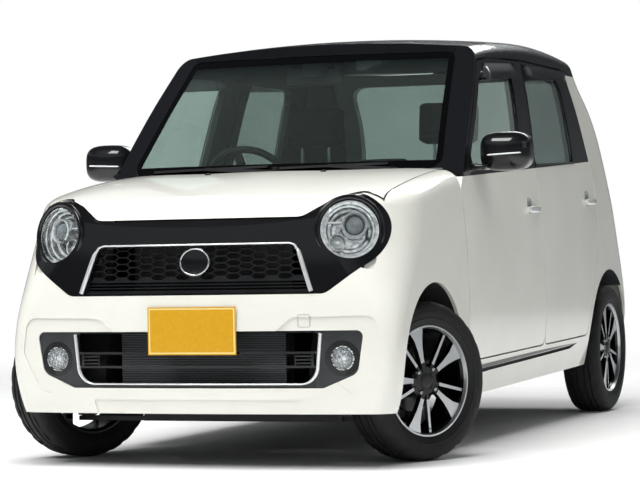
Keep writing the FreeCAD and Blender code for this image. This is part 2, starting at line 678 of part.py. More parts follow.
# Upper grille: a rim behind the mask, a honeycomb of wide cells and thin fins below it.
GRILLE_DEPTH = 20
CELL_PITCH_X, CELL_PITCH_Z, CELL_BAR = 47, 23.4, 4
CELL_TOP, CELL_ROWS, CELL_COLUMNS = 768, 6, 20
FIN_SLOTS, FIN_REACH = (620, 631, 642), 412
rim = nose_hull(SKIN + FIT).cut(nose_hull(SKIN + GRILLE_DEPTH)).common(front_prism(UPPER_OPENING, 8))
rim = rim.cut(front_prism(UPPER_OPENING, -4))
cells = []
for column in range(-CELL_COLUMNS // 2, CELL_COLUMNS // 2 + 1):
    for row in range(CELL_ROWS):
        z = CELL_TOP - row * CELL_PITCH_Z - (column % 2) * CELL_PITCH_Z / 2
        if z > CELL_TOP - (CELL_ROWS - 1) * CELL_PITCH_Z:
            cells.append(hexagon(column * CELL_PITCH_X, z, 27.5, 16, (CELL_PITCH_Z - CELL_BAR) / 2))
cells += [hexagon(0, z, FIN_REACH, FIN_REACH - 4, 3.5) for z in FIN_SLOTS]
comb = front_face(UPPER_OPENING, 2).cut(cells)
comb.translate(Vector(0, -1800, 0))
comb = comb.extrude(Vector(0, 300, 0)).common(bowed_plate(-1654, 688, 8, 8))
add("upper_grille", comb.fuse(rim))

# Lower grille: bezel with round lamp pockets and an open intake with two bars.
lower_plate = nose_hull(SKIN + FIT).cut(nose_hull(SKIN + GRILLE_DEPTH)).common(front_prism(LOWER_OPENING, 8))
fog_places = [Vector(k * size("fog_x"), -1500, size("fog_z")) for k in (1, -1)]
fog_holes = [Part.makeCylinder(size("fog_radius") + FIT, 400, q, Vector(0, -1, 0)) for q in fog_places]
fog_rings = [Part.makeCylinder(size("fog_radius") + 18, 150, q, Vector(0, -1, 0))
             .common(nose_hull(SKIN - 8)).cut(nose_hull(SKIN + GRILLE_DEPTH)) for q in fog_places]
intake = front_prism(INTAKE)
bars = lower_plate.common(intake).common(Part.makeCompound(
    [box(-WIDE, WIDE, -1900, -1200, z - 4, z + 4) for z in (352, 400)]))
add("lower_grille", lower_plate.cut(intake).fuse([bars] + fog_rings).cut(fog_holes))

lens_rise = 20
lamps, lenses = [], []
for way in (1, -1):
    seat = Vector(way * lamp_seat.x, lamp_seat.y, lamp_seat.z)
    axis = Vector(way * lamp_axis.x, lamp_axis.y, lamp_axis.z)
    radius = size("lamp_radius")
    depth = size("lamp_depth")
    bowl = Part.makeCone(radius, radius * 0.62, depth, seat, -axis)
    hollow = Part.makeCone(radius - 4, radius * 0.56, depth - 8, seat, -axis)
    projector = rod(seat - axis * (depth - 4), seat - axis * 26, 34)
    lamps.append(bowl.cut(hollow).fuse(projector))
    ball = (radius ** 2 + lens_rise ** 2) / (2 * lens_rise)
    centre = seat + axis * (lens_rise - ball + FIT)
    dome = Part.makeSphere(ball, centre).cut(Part.makeSphere(ball - size("lens_thickness"), centre))
    lenses.append(dome.common(rod(seat + axis * FIT, seat + axis * 60, radius)))
parts["headlamps"] = part_feature("headlamps", Part.makeCompound(lamps))
parts["headlamp_lenses"] = part_feature("headlamp_lenses", Part.makeCompound(lenses))
fogs = [Part.makeCylinder(size("fog_radius"), 60, q + Vector(0, -92, 0), Vector(0, -1, 0)) for q in fog_places]
parts["fog_lamps"] = part_feature("fog_lamps", Part.makeCompound(fogs))


def primitive(kind, label, place, **cells):
    """Plain solid whose sizes are bound to the sheet or set to a number."""
    thing = doc.addObject(kind, label)
    for prop, value in cells.items():
        if isinstance(value, str):
            thing.setExpression(prop, value)
        else:
            setattr(thing, prop, value)
    thing.Placement = place
    return thing


def at(x, y, z, rotation=None):
    return Placement(Vector(x, y, z), rotation or Rotation())


def fuse(label, things):
    whole = doc.addObject("Part::MultiFuse", label)
    whole.Shapes = things
    whole.Label = label
    return whole


# Number plates, front and rear, both bare.
plate_place = at(-size("plate_length") / 2, FRONT, size("plate_centre_z") - size("plate_height") / 2)
plate_sizes = dict(Length="Sizes.plate_length", Width="Sizes.plate_thickness", Height="Sizes.plate_height")
parts["front_plate"] = primitive("Part::Box", "front_plate", plate_place, **plate_sizes)
REAR_PLATE_Z = 720
rear_face = 1671.2
rear_plate_place = at(-size("plate_length") / 2, rear_face, REAR_PLATE_Z)
parts["rear_plate"] = primitive("Part::Box", "rear_plate", rear_plate_place, **plate_sizes)

# Floor, firewall, wheelhouses and what hangs below the floor.
FLOOR = size("floor_z")
THICK = size("floor_thickness")
floor_top = [(-868, 250), (-700, FLOOR), (760, FLOOR), (800, 420), (1130, 420), (1200, 560), (1640, 560)]
floor_low = [(y, z - THICK) for y, z in reversed(floor_top)]
floor = half_space(floor_top + floor_low).common(cabin_hull(WALL + FIT, 40, 40))
floor = floor.cut([box(k * 615 - 85, k * 615 + 85, 880, 1700, 0, 900) for k in (1, -1)])
add("floor_pan", floor)
firewall = box(-WIDE, WIDE, -868, -868 + THICK, 250 + FIT, 1040).common(cabin_hull(WALL + FIT, 40, 40))
cowl_room = Part.makeCylinder(WINDSCREEN_BOW - GAP, 600, Vector(0, COWL_FRONT + WINDSCREEN_BOW, 700), Vector(0, 0, 1))
shelf = nose_hull(STEP).cut(nose_hull(SKIN + FIT)).common(cowl_room)
shelf = shelf.common(box(FIT - COWL_HALF, COWL_HALF - FIT, -960, -790, 900, 1200))
shelf = shelf.cut([box(k * 600 - 60, k * 600 + 60, -900, BONNET_HINGE[0] + GAP / 2, 900, 1200) for k in (1, -1)])
bonnet_pins = cross_pins(BONNET_HINGE[0], BONNET_HINGE[1], 575, 625, BONNET_HINGE[0] + 22)
add("bulkhead", firewall.fuse([shelf] + bonnet_pins).cut(windscreen_zone))

house = tube_along_x(352, 385, 734, FRONT_AXLE, HUB).cut(tube_along_x(346, 391, 740, FRONT_AXLE, HUB))
house = house.cut(box(300, 800, -1700, -800, 0, HUB - 40)).common(nose_hull(SKIN + FIT))
parts["front_wheelhouses"] = part_feature("front_wheelhouses", both(house))

parts["radiator"] = primitive("Part::Box", "radiator", at(-310, -1600, 262), Length=620, Width=28, Height=340)

ARM_Z = HUB - 147
CROSS_TOP = ARM_Z + 60
parts["engine_block"] = primitive("Part::Box", "engine_block", at(-300, -1500, CROSS_TOP + FIT),
                                  Length=600, Width=490, Height=600)
STRUT_X = 468
cross = box(-385, 385, -1260, -1150, ARM_Z, ARM_Z + 60)
legs = [box(k * 350 - 20, k * 350 + 20, -1612, -1150, 190, 262 - FIT) for k in (1, -1)]
legs.append(box(-370, 370, -1612, -1568, 200, 262 - FIT))
arms = [box(min(k * 380, k * 655), max(k * 380, k * 655), FRONT_AXLE - 20, FRONT_AXLE + 20, ARM_Z, ARM_Z + 16) for k in (1, -1)]
low_pins = [Part.makeCylinder(7, 22, Vector(k * size("kingpin_x"), FRONT_AXLE, ARM_Z + 10)) for k in (1, -1)]
rails = [box(k * 350 - 20, k * 350 + 20, -1260, -690, ARM_Z, CROSS_TOP) for k in (1, -1)]
risers = [box(k * 350 - 20, k * 350 + 20, -720, -690, ARM_Z, FLOOR - THICK - FIT) for k in (1, -1)]
add("front_subframe", cross.fuse(arms + low_pins + rails + risers + legs))
struts = []
for k in (1, -1):
    x = k * STRUT_X
    top = HUB + 131.3
    leg = Part.makeCylinder(20, HUB + math.sqrt(346 ** 2 - 20 ** 2) - FIT - top, Vector(x, FRONT_AXLE, top))
    spring = Part.makeCylinder(48, 120, Vector(x, FRONT_AXLE, HUB + 220))
    bracket = box(min(x, k * 655), max(x, k * 655), FRONT_AXLE - 18, FRONT_AXLE + 18, top, top + 16)
    pin = Part.makeCylinder(7, 18, Vector(k * size("kingpin_x"), FRONT_AXLE, top - 14))
    struts.append(leg.fuse([spring, bracket, pin]))
parts["front_struts"] = part_feature("front_struts", Part.makeCompound(struts))

beam = box(-520, 520, REAR_AXLE - 170, REAR_AXLE - 110, 245, 300)
pieces = []
for k in (1, -1):
    pieces.append(box(min(k * 500, k * 535), max(k * 500, k * 535), 905, REAR_AXLE + 30, 245, 300))
    pieces.append(tube_along_x(28, min(k * 530, k * 622), max(k * 530, k * 622), REAR_AXLE, HUB))
    pieces.append(tube_along_x(size("spindle_radius"), min(k * 530, k * 668), max(k * 530, k * 668), REAR_AXLE, HUB))
    pieces.append(Part.makeCylinder(46, 560 - THICK - FIT - 295, Vector(k * 450, REAR_AXLE - 20, 295)))
    pieces.append(box(min(k * 400, k * 510), max(k * 400, k * 510), REAR_AXLE - 60, REAR_AXLE + 20, 270, 300))
    pieces.append(box(min(k * 500, k * 535), max(k * 500, k * 535), 905, 940, 290, 420 - THICK - FIT))
add("rear_axle", beam.fuse(pieces))

parts["fuel_tank"] = primitive("Part::Box", "fuel_tank", at(-330, -150, 162), Length=660, Width=480,
                               Height=FLOOR - THICK - FIT - 162)
exhaust = rod(Vector(400, -840, 190), Vector(400, 1540, 190), 22)
silencer = Part.makeCylinder(75, 290, Vector(230, 1540, 250), Vector(1, 0, 0))
hangers = [rod(Vector(400, 600, 190), Vector(400, 600, FLOOR - THICK - FIT), 6),
           rod(Vector(300, 1540, 250), Vector(300, 1540, 560 - THICK - FIT), 6)]
add("exhaust", exhaust.fuse([silencer] + hangers))

# Cabin: dashboard with its column, wheel, seats.
FIREWALL_BACK = -868 + THICK + FIT
dash = half_space(((FIREWALL_BACK, 640), (FIREWALL_BACK, 1015), (-700, 1010), (-590, 960), (-560, 860), (-600, 640)))
dash = dash.common(cabin_hull(WALL + FIT, 40, 46))
column_axis = Vector(0, math.cos(math.radians(size("steering_tilt"))), math.sin(math.radians(size("steering_tilt"))))
wheel_centre = Vector(-size("steering_x"), -273, 982)
dash = dash.fuse(rod(wheel_centre - column_axis * 380, wheel_centre - column_axis * 30, 24))
add("dashboard", dash)
turn = Rotation(Vector(0, 0, 1), column_axis)
turned_by = size("rest_steer") * size("steering_ratio")
ring = primitive("Part::Torus", "wheel_ring", Placement(wheel_centre, turn),
                 Radius1="Sizes.wheel_rim_radius", Radius2="Sizes.wheel_rim_section")
boss = primitive("Part::Cylinder", "wheel_boss", Placement(wheel_centre - column_axis * 29.7, turn), Radius=60, Height=34)
spokes = [primitive("Part::Box", "wheel_spoke_%d" % i, Placement(wheel_centre, turn * Rotation(Vector(0, 0, 1), a - turned_by))
                    .multiply(at(40, -16, -10)), Length="Sizes.wheel_rim_radius - 45", Width=32, Height=16)
          for i, a in enumerate((0, 90, 180))]
parts["steering_wheel"] = fuse("steering_wheel", [ring, boss] + spokes)


def seat(x, half, y, head_y):
    """Cushion, leaning back and headrest over a plinth on the floor."""
    plinth = box(x - half + 40, x + half - 40, y + 40, y + 460, FLOOR + FIT, 420)
    cushion = box(x - half, x + half, y, y + 520, 400, 530)
    cushion = cushion.makeFillet(35, [e for e in cushion.Edges if e.BoundBox.ZMin > 529 and e.BoundBox.YMax < y + 519])
    back = half_space(((y + 420, 480), (y + 540, 480), (head_y + 60, 1130), (head_y - 50, 1130)), x - half, x + half)
    back = back.makeFillet(40, [e for e in back.Edges if e.BoundBox.ZMax > 1129])
    head = box(x - 130, x + 130, head_y - 50, head_y + 60, 1165, 1350)
    head = head.makeFillet(38, head.Edges)
    posts = [rod(Vector(x + k, head_y, 1080), Vector(x + k, head_y, 1200), 7) for k in (-60, 60)]
    return plinth.fuse([cushion, back, head] + posts)


half = size("seat_width") / 2
parts["front_seats"] = part_feature("front_seats", Part.makeCompound(
    [seat(k * (size("seat_x") - 40), half, -220, 330) for k in (1, -1)]))
rear_back = half_space(((1080, 480), (1140, 480), (1240, 1000), (1150, 1000)), -500, 500)
rear_cushion = box(-525, 525, 700, 1100, 420 + FIT, 560)
rear_heads = []
for x in (-290, 290):
    head = box(x - 125, x + 125, 1150, 1235, 1030, 1150)
    rear_heads.append(head.makeFillet(35, head.Edges))
    rear_heads += [rod(Vector(x + k, 1192, 960), Vector(x + k, 1192, 1060), 6) for k in (-50, 50)]
add("rear_seat", rear_cushion.fuse([rear_back] + rear_heads))

# Mirrors.
mirror_body = box(700, 914, -655, -545, 1028, 1174)
upper = [e for e in mirror_body.Edges if e.BoundBox.ZMax > 1100 and not e.BoundBox.XMax < 701]
mirror_body = mirror_body.makeFillet(48, upper)
lower = [e for e in mirror_body.Edges if e.BoundBox.ZMax < 1029 and e.BoundBox.XMax > 701]
mirror_body = mirror_body.makeFillet(20, lower)
mirror_arm = box(690, 760, -700, -600, 1030, 1054)
mirror = mirror_body.fuse(mirror_arm).cut(outer)
add("door_mirror_left", mirror)
add("door_mirror_right", mirrored(mirror))


# Wheels: tyre, rim with spokes and hub, and the knuckles that steer the front ones.
def sketch_in(body, role):
    sketch = body.newObject("Sketcher::SketchObject", body.Name + "_outline")
    plane = [f for f in body.Origin.OriginFeatures if f.Role == role][0]
    sketch.AttachmentSupport = [(plane, "")]
    sketch.MapMode = "FlatFace"
    return sketch


def polygon(sketch, corners):
    """Closed outline whose corners' two coordinates are each held by a cell expression."""
    values = [[float(sheet.evalExpression(str(e))) for e in corner] for corner in corners]
    count = len(corners)
    for i, (u, v) in enumerate(values):
        nu, nv = values[(i + 1) % count]
        sketch.addGeometry(Part.LineSegment(Vector(u, v, 0), Vector(nu, nv, 0)), False)
    for i in range(count):
        sketch.addConstraint(Sketcher.Constraint("Coincident", i, 2, (i + 1) % count, 1))
    for i, corner in enumerate(corners):
        for kind, expression, value in zip(("DistanceX", "DistanceY"), corner, values[i]):
            index = sketch.addConstraint(Sketcher.Constraint(kind, -1, 1, i, 1, value))
            sketch.setExpression("Constraints[%d]" % index, str(expression))


def revolved(body, corners):
    sketch = sketch_in(body, "XZ_Plane")
    polygon(sketch, corners)
    turned = body.newObject("PartDesign::Revolution", body.Name + "_turned")
    turned.Profile = sketch
    turned.ReferenceAxis = (sketch, ["V_Axis"])
    turned.Angle = 360
    return turned


def padded(body, corners, low, high):
    sketch = sketch_in(body, "XY_Plane")
    sketch.AttachmentOffset = at(0, 0, low)
    polygon(sketch, corners)
    pad = body.newObject("PartDesign::Pad", body.Name + "_pad")
    pad.Profile = sketch
    pad.Length = high - low
    return pad


TYRE = (
    ("Sizes.rim_radius - 8", "-Sizes.tyre_width / 2 + 14"),
    ("Sizes.rim_radius + 22", "-Sizes.tyre_width / 2"),
    ("Sizes.tyre_radius - 26", "-Sizes.tyre_width / 2 + 2"),
    ("Sizes.tyre_radius - 7", "-Sizes.tyre_width / 2 + 14"),
    ("Sizes.tyre_radius", "-Sizes.tyre_width / 2 + 32"),
    ("Sizes.tyre_radius", "Sizes.tyre_width / 2 - 32"),
    ("Sizes.tyre_radius - 7", "Sizes.tyre_width / 2 - 14"),
    ("Sizes.tyre_radius - 26", "Sizes.tyre_width / 2 - 2"),
    ("Sizes.rim_radius + 22", "Sizes.tyre_width / 2"),
    ("Sizes.rim_radius - 8", "Sizes.tyre_width / 2 - 14"),
)
BARREL = (
    ("Sizes.rim_radius - 8.3", "Sizes.rim_width / 2"),
    ("Sizes.rim_radius - 8.3", "-Sizes.rim_width / 2"),
    ("Sizes.rim_radius - 14", "-Sizes.rim_width / 2"),
    ("Sizes.rim_radius - 24", "-Sizes.rim_width / 2 + 14"),
    ("Sizes.rim_radius - 24", "Sizes.rim_width / 2 - 20"),
    ("Sizes.rim_radius - 14", "Sizes.rim_width / 2"),
)
HUB_PROFILE = (
    ("0", "58"),
    ("0", "16.3"),
    ("Sizes.spindle_radius + Sizes.fit", "16.3"),
    ("Sizes.spindle_radius + Sizes.fit", "-30"),
    ("Sizes.disc_radius", "-30"),
    ("Sizes.disc_radius", "-30 + Sizes.disc_thickness"),
    ("Sizes.hub_radius", "-30 + Sizes.disc_thickness"),
    ("Sizes.hub_radius", "46"),
    ("Sizes.hub_radius - 14", "58"),
)
PADDLE = (
    ("30", "-9"),
    ("78", "-9"),
    ("118", "-15"),
    ("152", "-24"),
    ("Sizes.rim_radius - 19", "-36"),
    ("Sizes.rim_radius - 19", "30"),
    ("150", "16"),
    ("112", "10"),
    ("78", "8"),
    ("30", "9"),
)
RIB = (("30", "-6"), ("Sizes.rim_radius - 17", "-5"), ("Sizes.rim_radius - 17", "5"), ("30", "6"))
# Spoke outline, its lowest and highest level, and the turn of its first copy.
SPOKES = ((PADDLE, 38, 60, 52), (RIB, 40, 57, 5))


def wheel_place(front, way):
    """Place of a wheel's own frame: its axis Z points outwards from the car."""
    outward = Rotation(Vector(0, 0, 1), Vector(way, 0, 0))
    y = FRONT_AXLE if front else REAR_AXLE
    if not front:
        return Placement(Vector(way * size("track") / 2, y, HUB), outward)
    steer = Rotation(Vector(0, 0, 1), -size("rest_steer"))
    kingpin = Vector(way * size("kingpin_x"), y, HUB)
    offset = steer.multVec(Vector(way * (size("track") / 2 - size("kingpin_x")), 0, 0))
    return Placement(kingpin + offset, steer * outward)


for end in ("front", "rear"):
    for side, way in (("left", 1), ("right", -1)):
        place = wheel_place(end == "front", way)
        label = "tyre_%s_%s" % (end, side)
        tyre = doc.addObject("PartDesign::Body", label)
        revolved(tyre, TYRE)
        tyre.Placement = place
        parts[label] = tyre
        label = "wheel_%s_%s" % (end, side)
        wheel = doc.addObject("PartDesign::Body", label)
        revolved(wheel, BARREL)
        revolved(wheel, HUB_PROFILE)
        for corners, low, high, first in SPOKES:
            pad = padded(wheel, corners, low, high)
            pad.Profile[0].AttachmentOffset = Placement(Vector(0, 0, low), Rotation(Vector(0, 0, 1), first))
            pattern = wheel.newObject("PartDesign::PolarPattern", label + "_ring_%d" % first)
            pattern.Originals = [pad]
            pattern.Axis = (pad.Profile[0], ["N_Axis"])
            pattern.Angle = 360
            pattern.Occurrences = 5
            wheel.Tip = pattern
            doc.recompute()
        wheel.Placement = place
        parts[label] = wheel

for side, way in (("left", 1), ("right", -1)):
    x0, x1 = 600 - size("kingpin_x"), 622.2 - size("kingpin_x")
    knuckle = box(min(way * x0, way * x1), max(way * x0, way * x1), -26, 26, -128, 128)
    ears = [box(min(way * x0, way * 18), max(way * x0, way * 18), -18, 18, z, z + 15) for z in (-129, 114)]
    knuckle = knuckle.fuse(ears)
    knuckle = knuckle.fuse(tube_along_x(size("spindle_radius"), min(way * x0, way * 28), max(way * x0, way * 28), 0, 0))
    knuckle = knuckle.cut(Part.makeCylinder(7.3, 400, Vector(0, 0, 115)))
    knuckle = knuckle.cut(Part.makeCylinder(7.3, 400, Vector(0, 0, -115), Vector(0, 0, -1)))
    steer = Rotation(Vector(0, 0, 1), -size("rest_steer"))
    place = Placement(Vector(way * size("kingpin_x"), FRONT_AXLE, HUB), steer)
    parts["knuckle_" + side] = part_feature("knuckle_" + side, knuckle, place)

doc.recompute()
for thing in doc.Objects:
    bad = [word for word in thing.State if word in ("Invalid", "Error")]
    if bad:
        raise RuntimeError("%s: %s" % (thing.Label, bad))
for label, thing in parts.items():
    shape = thing.Shape
    if shape.isNull() or not shape.isValid():
        raise RuntimeError(label + ": null or not valid")
    print(label, len(shape.Solids), round(shape.Volume / 1e6, 2))
    shape.exportStep("parts/%s.step" % label)
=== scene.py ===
import json
import math
import bmesh
import bpy
from mathutils import Matrix, Vector
from mathutils.bvhtree import BVHTree


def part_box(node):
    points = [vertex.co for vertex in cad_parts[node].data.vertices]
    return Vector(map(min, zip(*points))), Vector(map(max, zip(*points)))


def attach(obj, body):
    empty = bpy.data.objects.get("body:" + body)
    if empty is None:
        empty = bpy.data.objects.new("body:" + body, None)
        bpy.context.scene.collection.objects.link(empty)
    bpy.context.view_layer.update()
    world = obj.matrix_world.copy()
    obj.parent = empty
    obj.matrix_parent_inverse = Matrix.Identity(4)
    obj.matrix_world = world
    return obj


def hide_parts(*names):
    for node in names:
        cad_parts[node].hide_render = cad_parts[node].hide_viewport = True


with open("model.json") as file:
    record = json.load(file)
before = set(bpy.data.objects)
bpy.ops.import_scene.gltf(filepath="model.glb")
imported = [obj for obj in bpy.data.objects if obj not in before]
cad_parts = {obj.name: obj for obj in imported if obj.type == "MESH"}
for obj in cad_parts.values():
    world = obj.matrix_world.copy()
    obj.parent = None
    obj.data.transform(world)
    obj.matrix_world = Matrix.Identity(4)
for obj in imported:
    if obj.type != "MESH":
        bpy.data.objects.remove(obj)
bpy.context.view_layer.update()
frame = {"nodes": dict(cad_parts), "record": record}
NODES = frame["nodes"]
scene = bpy.context.scene
scene.view_settings.view_transform = "Standard"

# Small five-door city car: white body, black roof and face. Front along -Y, +X its left side, metres.

# Camera of the photograph.
CAMERA_PLACE = Vector((3.4791, -9.6841, 0.7774))
CAMERA_YAW = math.radians(20.5891)
CAMERA_PITCH = math.radians(0.0298)
CAMERA_ROLL = math.radians(-1.1112)
FOCAL_PIXELS = 2528.05


def photo_camera():
    data = bpy.data.cameras.new("photo_camera")
    data.sensor_width = 36
    data.lens = FOCAL_PIXELS / 640 * 36
    data.clip_end = 200
    camera = bpy.data.objects.new("photo_camera", data)
    scene.collection.objects.link(camera)
    ahead = Vector((-math.sin(CAMERA_YAW) * math.cos(CAMERA_PITCH),
                    math.cos(CAMERA_YAW) * math.cos(CAMERA_PITCH), math.sin(CAMERA_PITCH)))
    right = ahead.cross(Vector((0, 0, 1))).normalized()
    up = right.cross(ahead)
    level_right = right * math.cos(CAMERA_ROLL) + up * math.sin(CAMERA_ROLL)
    level_up = -right * math.sin(CAMERA_ROLL) + up * math.cos(CAMERA_ROLL)
    turn = Matrix((level_right, level_up, -ahead)).transposed().to_4x4()
    camera.matrix_world = Matrix.Translation(CAMERA_PLACE) @ turn
    scene.camera = camera


photo_camera()

# Sizes shared by several pieces, in metres.
HUB_Z = 0.281
FRONT_AXLE, REAR_AXLE = -1.2275, 1.2925
KINGPIN_X, TRACK, STEER = 0.640, 1.305, math.radians(27)
LAMP_SEAT = Vector((0.548, -1.592, 0.815))
LAMP_AXIS = Vector((math.sin(math.radians(22)), -math.cos(math.radians(22)), 0.10)).normalized()
LAMP_RADIUS = 0.100
FOG = Vector((0.535, -1.652, 0.380))
FOG_RADIUS = 0.042
BELT_Z, BELT_RISE = 1.0467, 0.051
ROOF_BLACK_Z = 1.478
WINDSCREEN_LOW, WINDSCREEN_TOP = (0.628, 1.040), (0.548, 1.503)
SIDES = (("left", 1), ("right", -1))


# Materials

def linear(hexa, alpha=1.0):
    """sRGB hex colour to the linear values that the nodes work in."""
    values = [int(hexa[i:i + 2], 16) / 255 for i in (1, 3, 5)]
    values = [v / 12.92 if v <= 0.04045 else ((v + 0.055) / 1.055) ** 2.4 for v in values]
    return (*values, alpha)


class Finish:
    """One material: add() places a node with its settings and inputs and gives back one of its outputs."""

    def __init__(self, name):
        self.material = bpy.data.materials.new(name)
        self.material.use_nodes = True
        self.tree = self.material.node_tree
        self.shader = self.tree.nodes["Principled BSDF"]

    def put(self, socket, value):
        if isinstance(value, bpy.types.NodeSocket):
            self.tree.links.new(value, socket)
        else:
            socket.default_value = value

    def add(self, kind, settings=None, *values, out=0, **inputs):
        node = self.tree.nodes.new("ShaderNode" + kind)
        for key, value in (settings or {}).items():
            setattr(node, key, value)
        for socket, value in zip(node.inputs, values):
            self.put(socket, value)
        for key, value in inputs.items():
            self.put(node.inputs[key.replace("_", " ")], value)
        return node.outputs[out]

    def surface(self, **inputs):
        for key, value in inputs.items():
            self.put(self.shader.inputs[key.replace("_", " ")], value)

    def place(self):
        return self.add("TexCoord", out="Object")

    def ramp(self, factor, low, high, start=0.0, end=1.0):
        colour = self.add("ValToRGB", None, factor)
        stops = colour.node.color_ramp.elements
        stops[0].position, stops[0].color = start, low
        stops[1].position, stops[1].color = end, high
        return colour

    def blend(self, factor, first, second):
        """Colour that goes from first to second."""
        node = self.add("Mix", {"data_type": "RGBA"}).node
        for socket, value in zip((node.inputs[0], node.inputs[6], node.inputs[7]), (factor, first, second)):
            self.put(socket, value)
        return node.outputs[2]


OVER, UNDER, TIMES, PLUS, LESS = ({"operation": word} for word in
                                  ("GREATER_THAN", "LESS_THAN", "MULTIPLY", "ADD", "SUBTRACT"))
EITHER, SIZE_OF, TIMES_PLUS = ({"operation": word} for word in ("MAXIMUM", "ABSOLUTE", "MULTIPLY_ADD"))


def lacquer(f, place, base, second, flake):
    """Sprayed car lacquer under clear coat: flakes shift the tone a little, orange peel ripples the coat."""
    flakes = f.add("TexNoise", None, place, Scale=900.0, Detail=2.0)
    cloud = f.add("TexNoise", None, place, Scale=3.0, Detail=3.0)
    mixed = f.add("Math", TIMES_PLUS, flakes, flake, cloud)
    peel = f.add("TexNoise", None, place, Scale=250.0, Detail=1.0)
    f.surface(Coat_Normal=f.add("Bump", None, Strength=0.04, Distance=0.0004, Height=peel),
              Coat_Weight=1.0, Coat_Roughness=0.03, Roughness=0.4, Specular_IOR_Level=0.15)
    return f.ramp(mixed, linear(base), linear(second), 0.3, 1.0)


def painted(name, base, second):
    f = Finish(name)
    f.surface(Base_Color=lacquer(f, f.place(), base, second, 0.12))
    return f


def moulded(name, base, second, roughness, grain=900.0, depth=0.0003, metallic=0.0):
    """Moulded plastic: fine grain from the tool, slightly uneven tone."""
    f = Finish(name)
    place = f.place()
    cloud = f.add("TexNoise", None, place, Scale=12.0, Detail=4.0)
    pits = f.add("TexVoronoi", None, place, Scale=grain)
    f.surface(Base_Color=f.ramp(cloud, linear(base), linear(second), 0.3, 0.7), Roughness=roughness,
              Metallic=metallic, Normal=f.add("Bump", None, Strength=0.25, Distance=depth, Height=pits))
    return f


WHITE_TONES = ("#E4E3DA", "#EFEEE6")
BLACK_TONES = ("#08080A", "#101013")
CABIN_TONES = ("#2A2C2E", "#3A3C3E")


def shell(name, side, wheel_y=None):
    """Side panels: white lacquer, black above the belt line and on the roof rail, moulded trim inside.

    Faces that look into the cabin take the trim; round the rear axle lies the dark wheel liner; a band along the sill's
    groove takes the trim colour as painted shade."""
    f = Finish(name)
    place = f.place()
    x, y, z = (f.add("SeparateXYZ", None, place, out=axis) for axis in "XYZ")
    white = lacquer(f, place, *WHITE_TONES, 0.12)
    belt = f.add("Math", TIMES_PLUS, y, BELT_RISE, BELT_Z)
    above = f.add("Math", OVER, z, belt)
    sash_end = f.add("Math", TIMES_PLUS, z, -0.289, 1.4208)
    sash = f.add("Math", TIMES, above, f.add("Math", UNDER, y, sash_end))
    black = f.add("Math", EITHER, sash, f.add("Math", OVER, z, ROOF_BLACK_Z))
    tone = f.blend(black, white, linear(BLACK_TONES[1]))
    across = f.add("SeparateXYZ", None, f.add("TexCoord", out="Normal"), out="X")
    inward = f.add("Math", UNDER, f.add("Math", TIMES, across, float(side)), -0.45)
    grain = f.add("TexNoise", None, place, Scale=350.0, Detail=3.0)
    trim = f.ramp(grain, linear(CABIN_TONES[0]), linear(CABIN_TONES[1]), 0.3, 0.7)
    dark = inward
    # Painted shade: a band along the sill's groove is coloured with the dark trim.
    groove_shade_x = f.add("Math", {"operation": "COMPARE"}, f.add("Math", SIZE_OF, x), 0.706, 0.003)
    groove_line = f.add("Math", TIMES_PLUS, y, 0.0235, 0.2982)
    groove_shade_z = f.add("Math", {"operation": "COMPARE"}, z, groove_line, 0.0085)
    dark = f.add("Math", EITHER, dark, f.add("Math", TIMES, groove_shade_x, groove_shade_z))
    if wheel_y is not None:
        offset = f.add("VectorMath", LESS, place, (0, wheel_y, HUB_Z))
        flat = f.add("VectorMath", {"operation": "MULTIPLY"}, offset, (0, 1, 1))
        reach = f.add("VectorMath", {"operation": "LENGTH"}, flat, out="Value")
        deep = f.add("Math", UNDER, f.add("Math", SIZE_OF, x), 0.66)
        reach = f.add("Math", TIMES_PLUS, deep, -0.015, reach)
        dark = f.add("Math", EITHER, dark, f.add("Math", UNDER, reach, 0.3475))
    f.surface(Base_Color=f.blend(dark, tone, trim), Roughness=f.add("Math", TIMES_PLUS, dark, 0.4, 0.4),
              Coat_Weight=f.add("Math", LESS, 1.0, dark))
    return f


def mask_finish():
    """Black face lacquer, white outside the round lamp surrounds where the panel meets the fender."""
    f = Finish("black_mask_lacquer")
    place = f.place()
    white = lacquer(f, place, *WHITE_TONES, 0.12)
    x, z = f.add("SeparateXYZ", None, place, out="X"), f.add("SeparateXYZ", None, place, out="Z")
    across = f.add("Math", LESS, f.add("Math", SIZE_OF, x), LAMP_SEAT.x)
    spot = f.add("CombineXYZ", None, across, f.add("Math", LESS, z, LAMP_SEAT.z), 0.0)
    reach = f.add("VectorMath", {"operation": "LENGTH"}, spot, out="Value")
    slant = f.add("VectorMath", {"operation": "DOT_PRODUCT"}, spot, (0.812, 0.584, 0.0), out="Value")
    outer = f.add("Math", OVER, f.add("Math", TIMES_PLUS, slant, 0.13, reach), 0.1378)
    corner = f.add("Math", TIMES, outer, f.add("Math", OVER, slant, 0.0))
    f.surface(Base_Color=f.blend(corner, linear(BLACK_TONES[0]), white))
    return f


WHITE = painted("pearl_white_lacquer", *WHITE_TONES)
BLACK = painted("gloss_black_lacquer", *BLACK_TONES)
TRIM = moulded("grained_black_abs", "#121213", "#1A1A1C", 0.55)
SATIN = moulded("satin_black_abs", "#121315", "#1C1D20", 0.30)
DARK_GREY = moulded("dark_grey_bezel_abs", "#2B2D31", "#383A3F", 0.38)
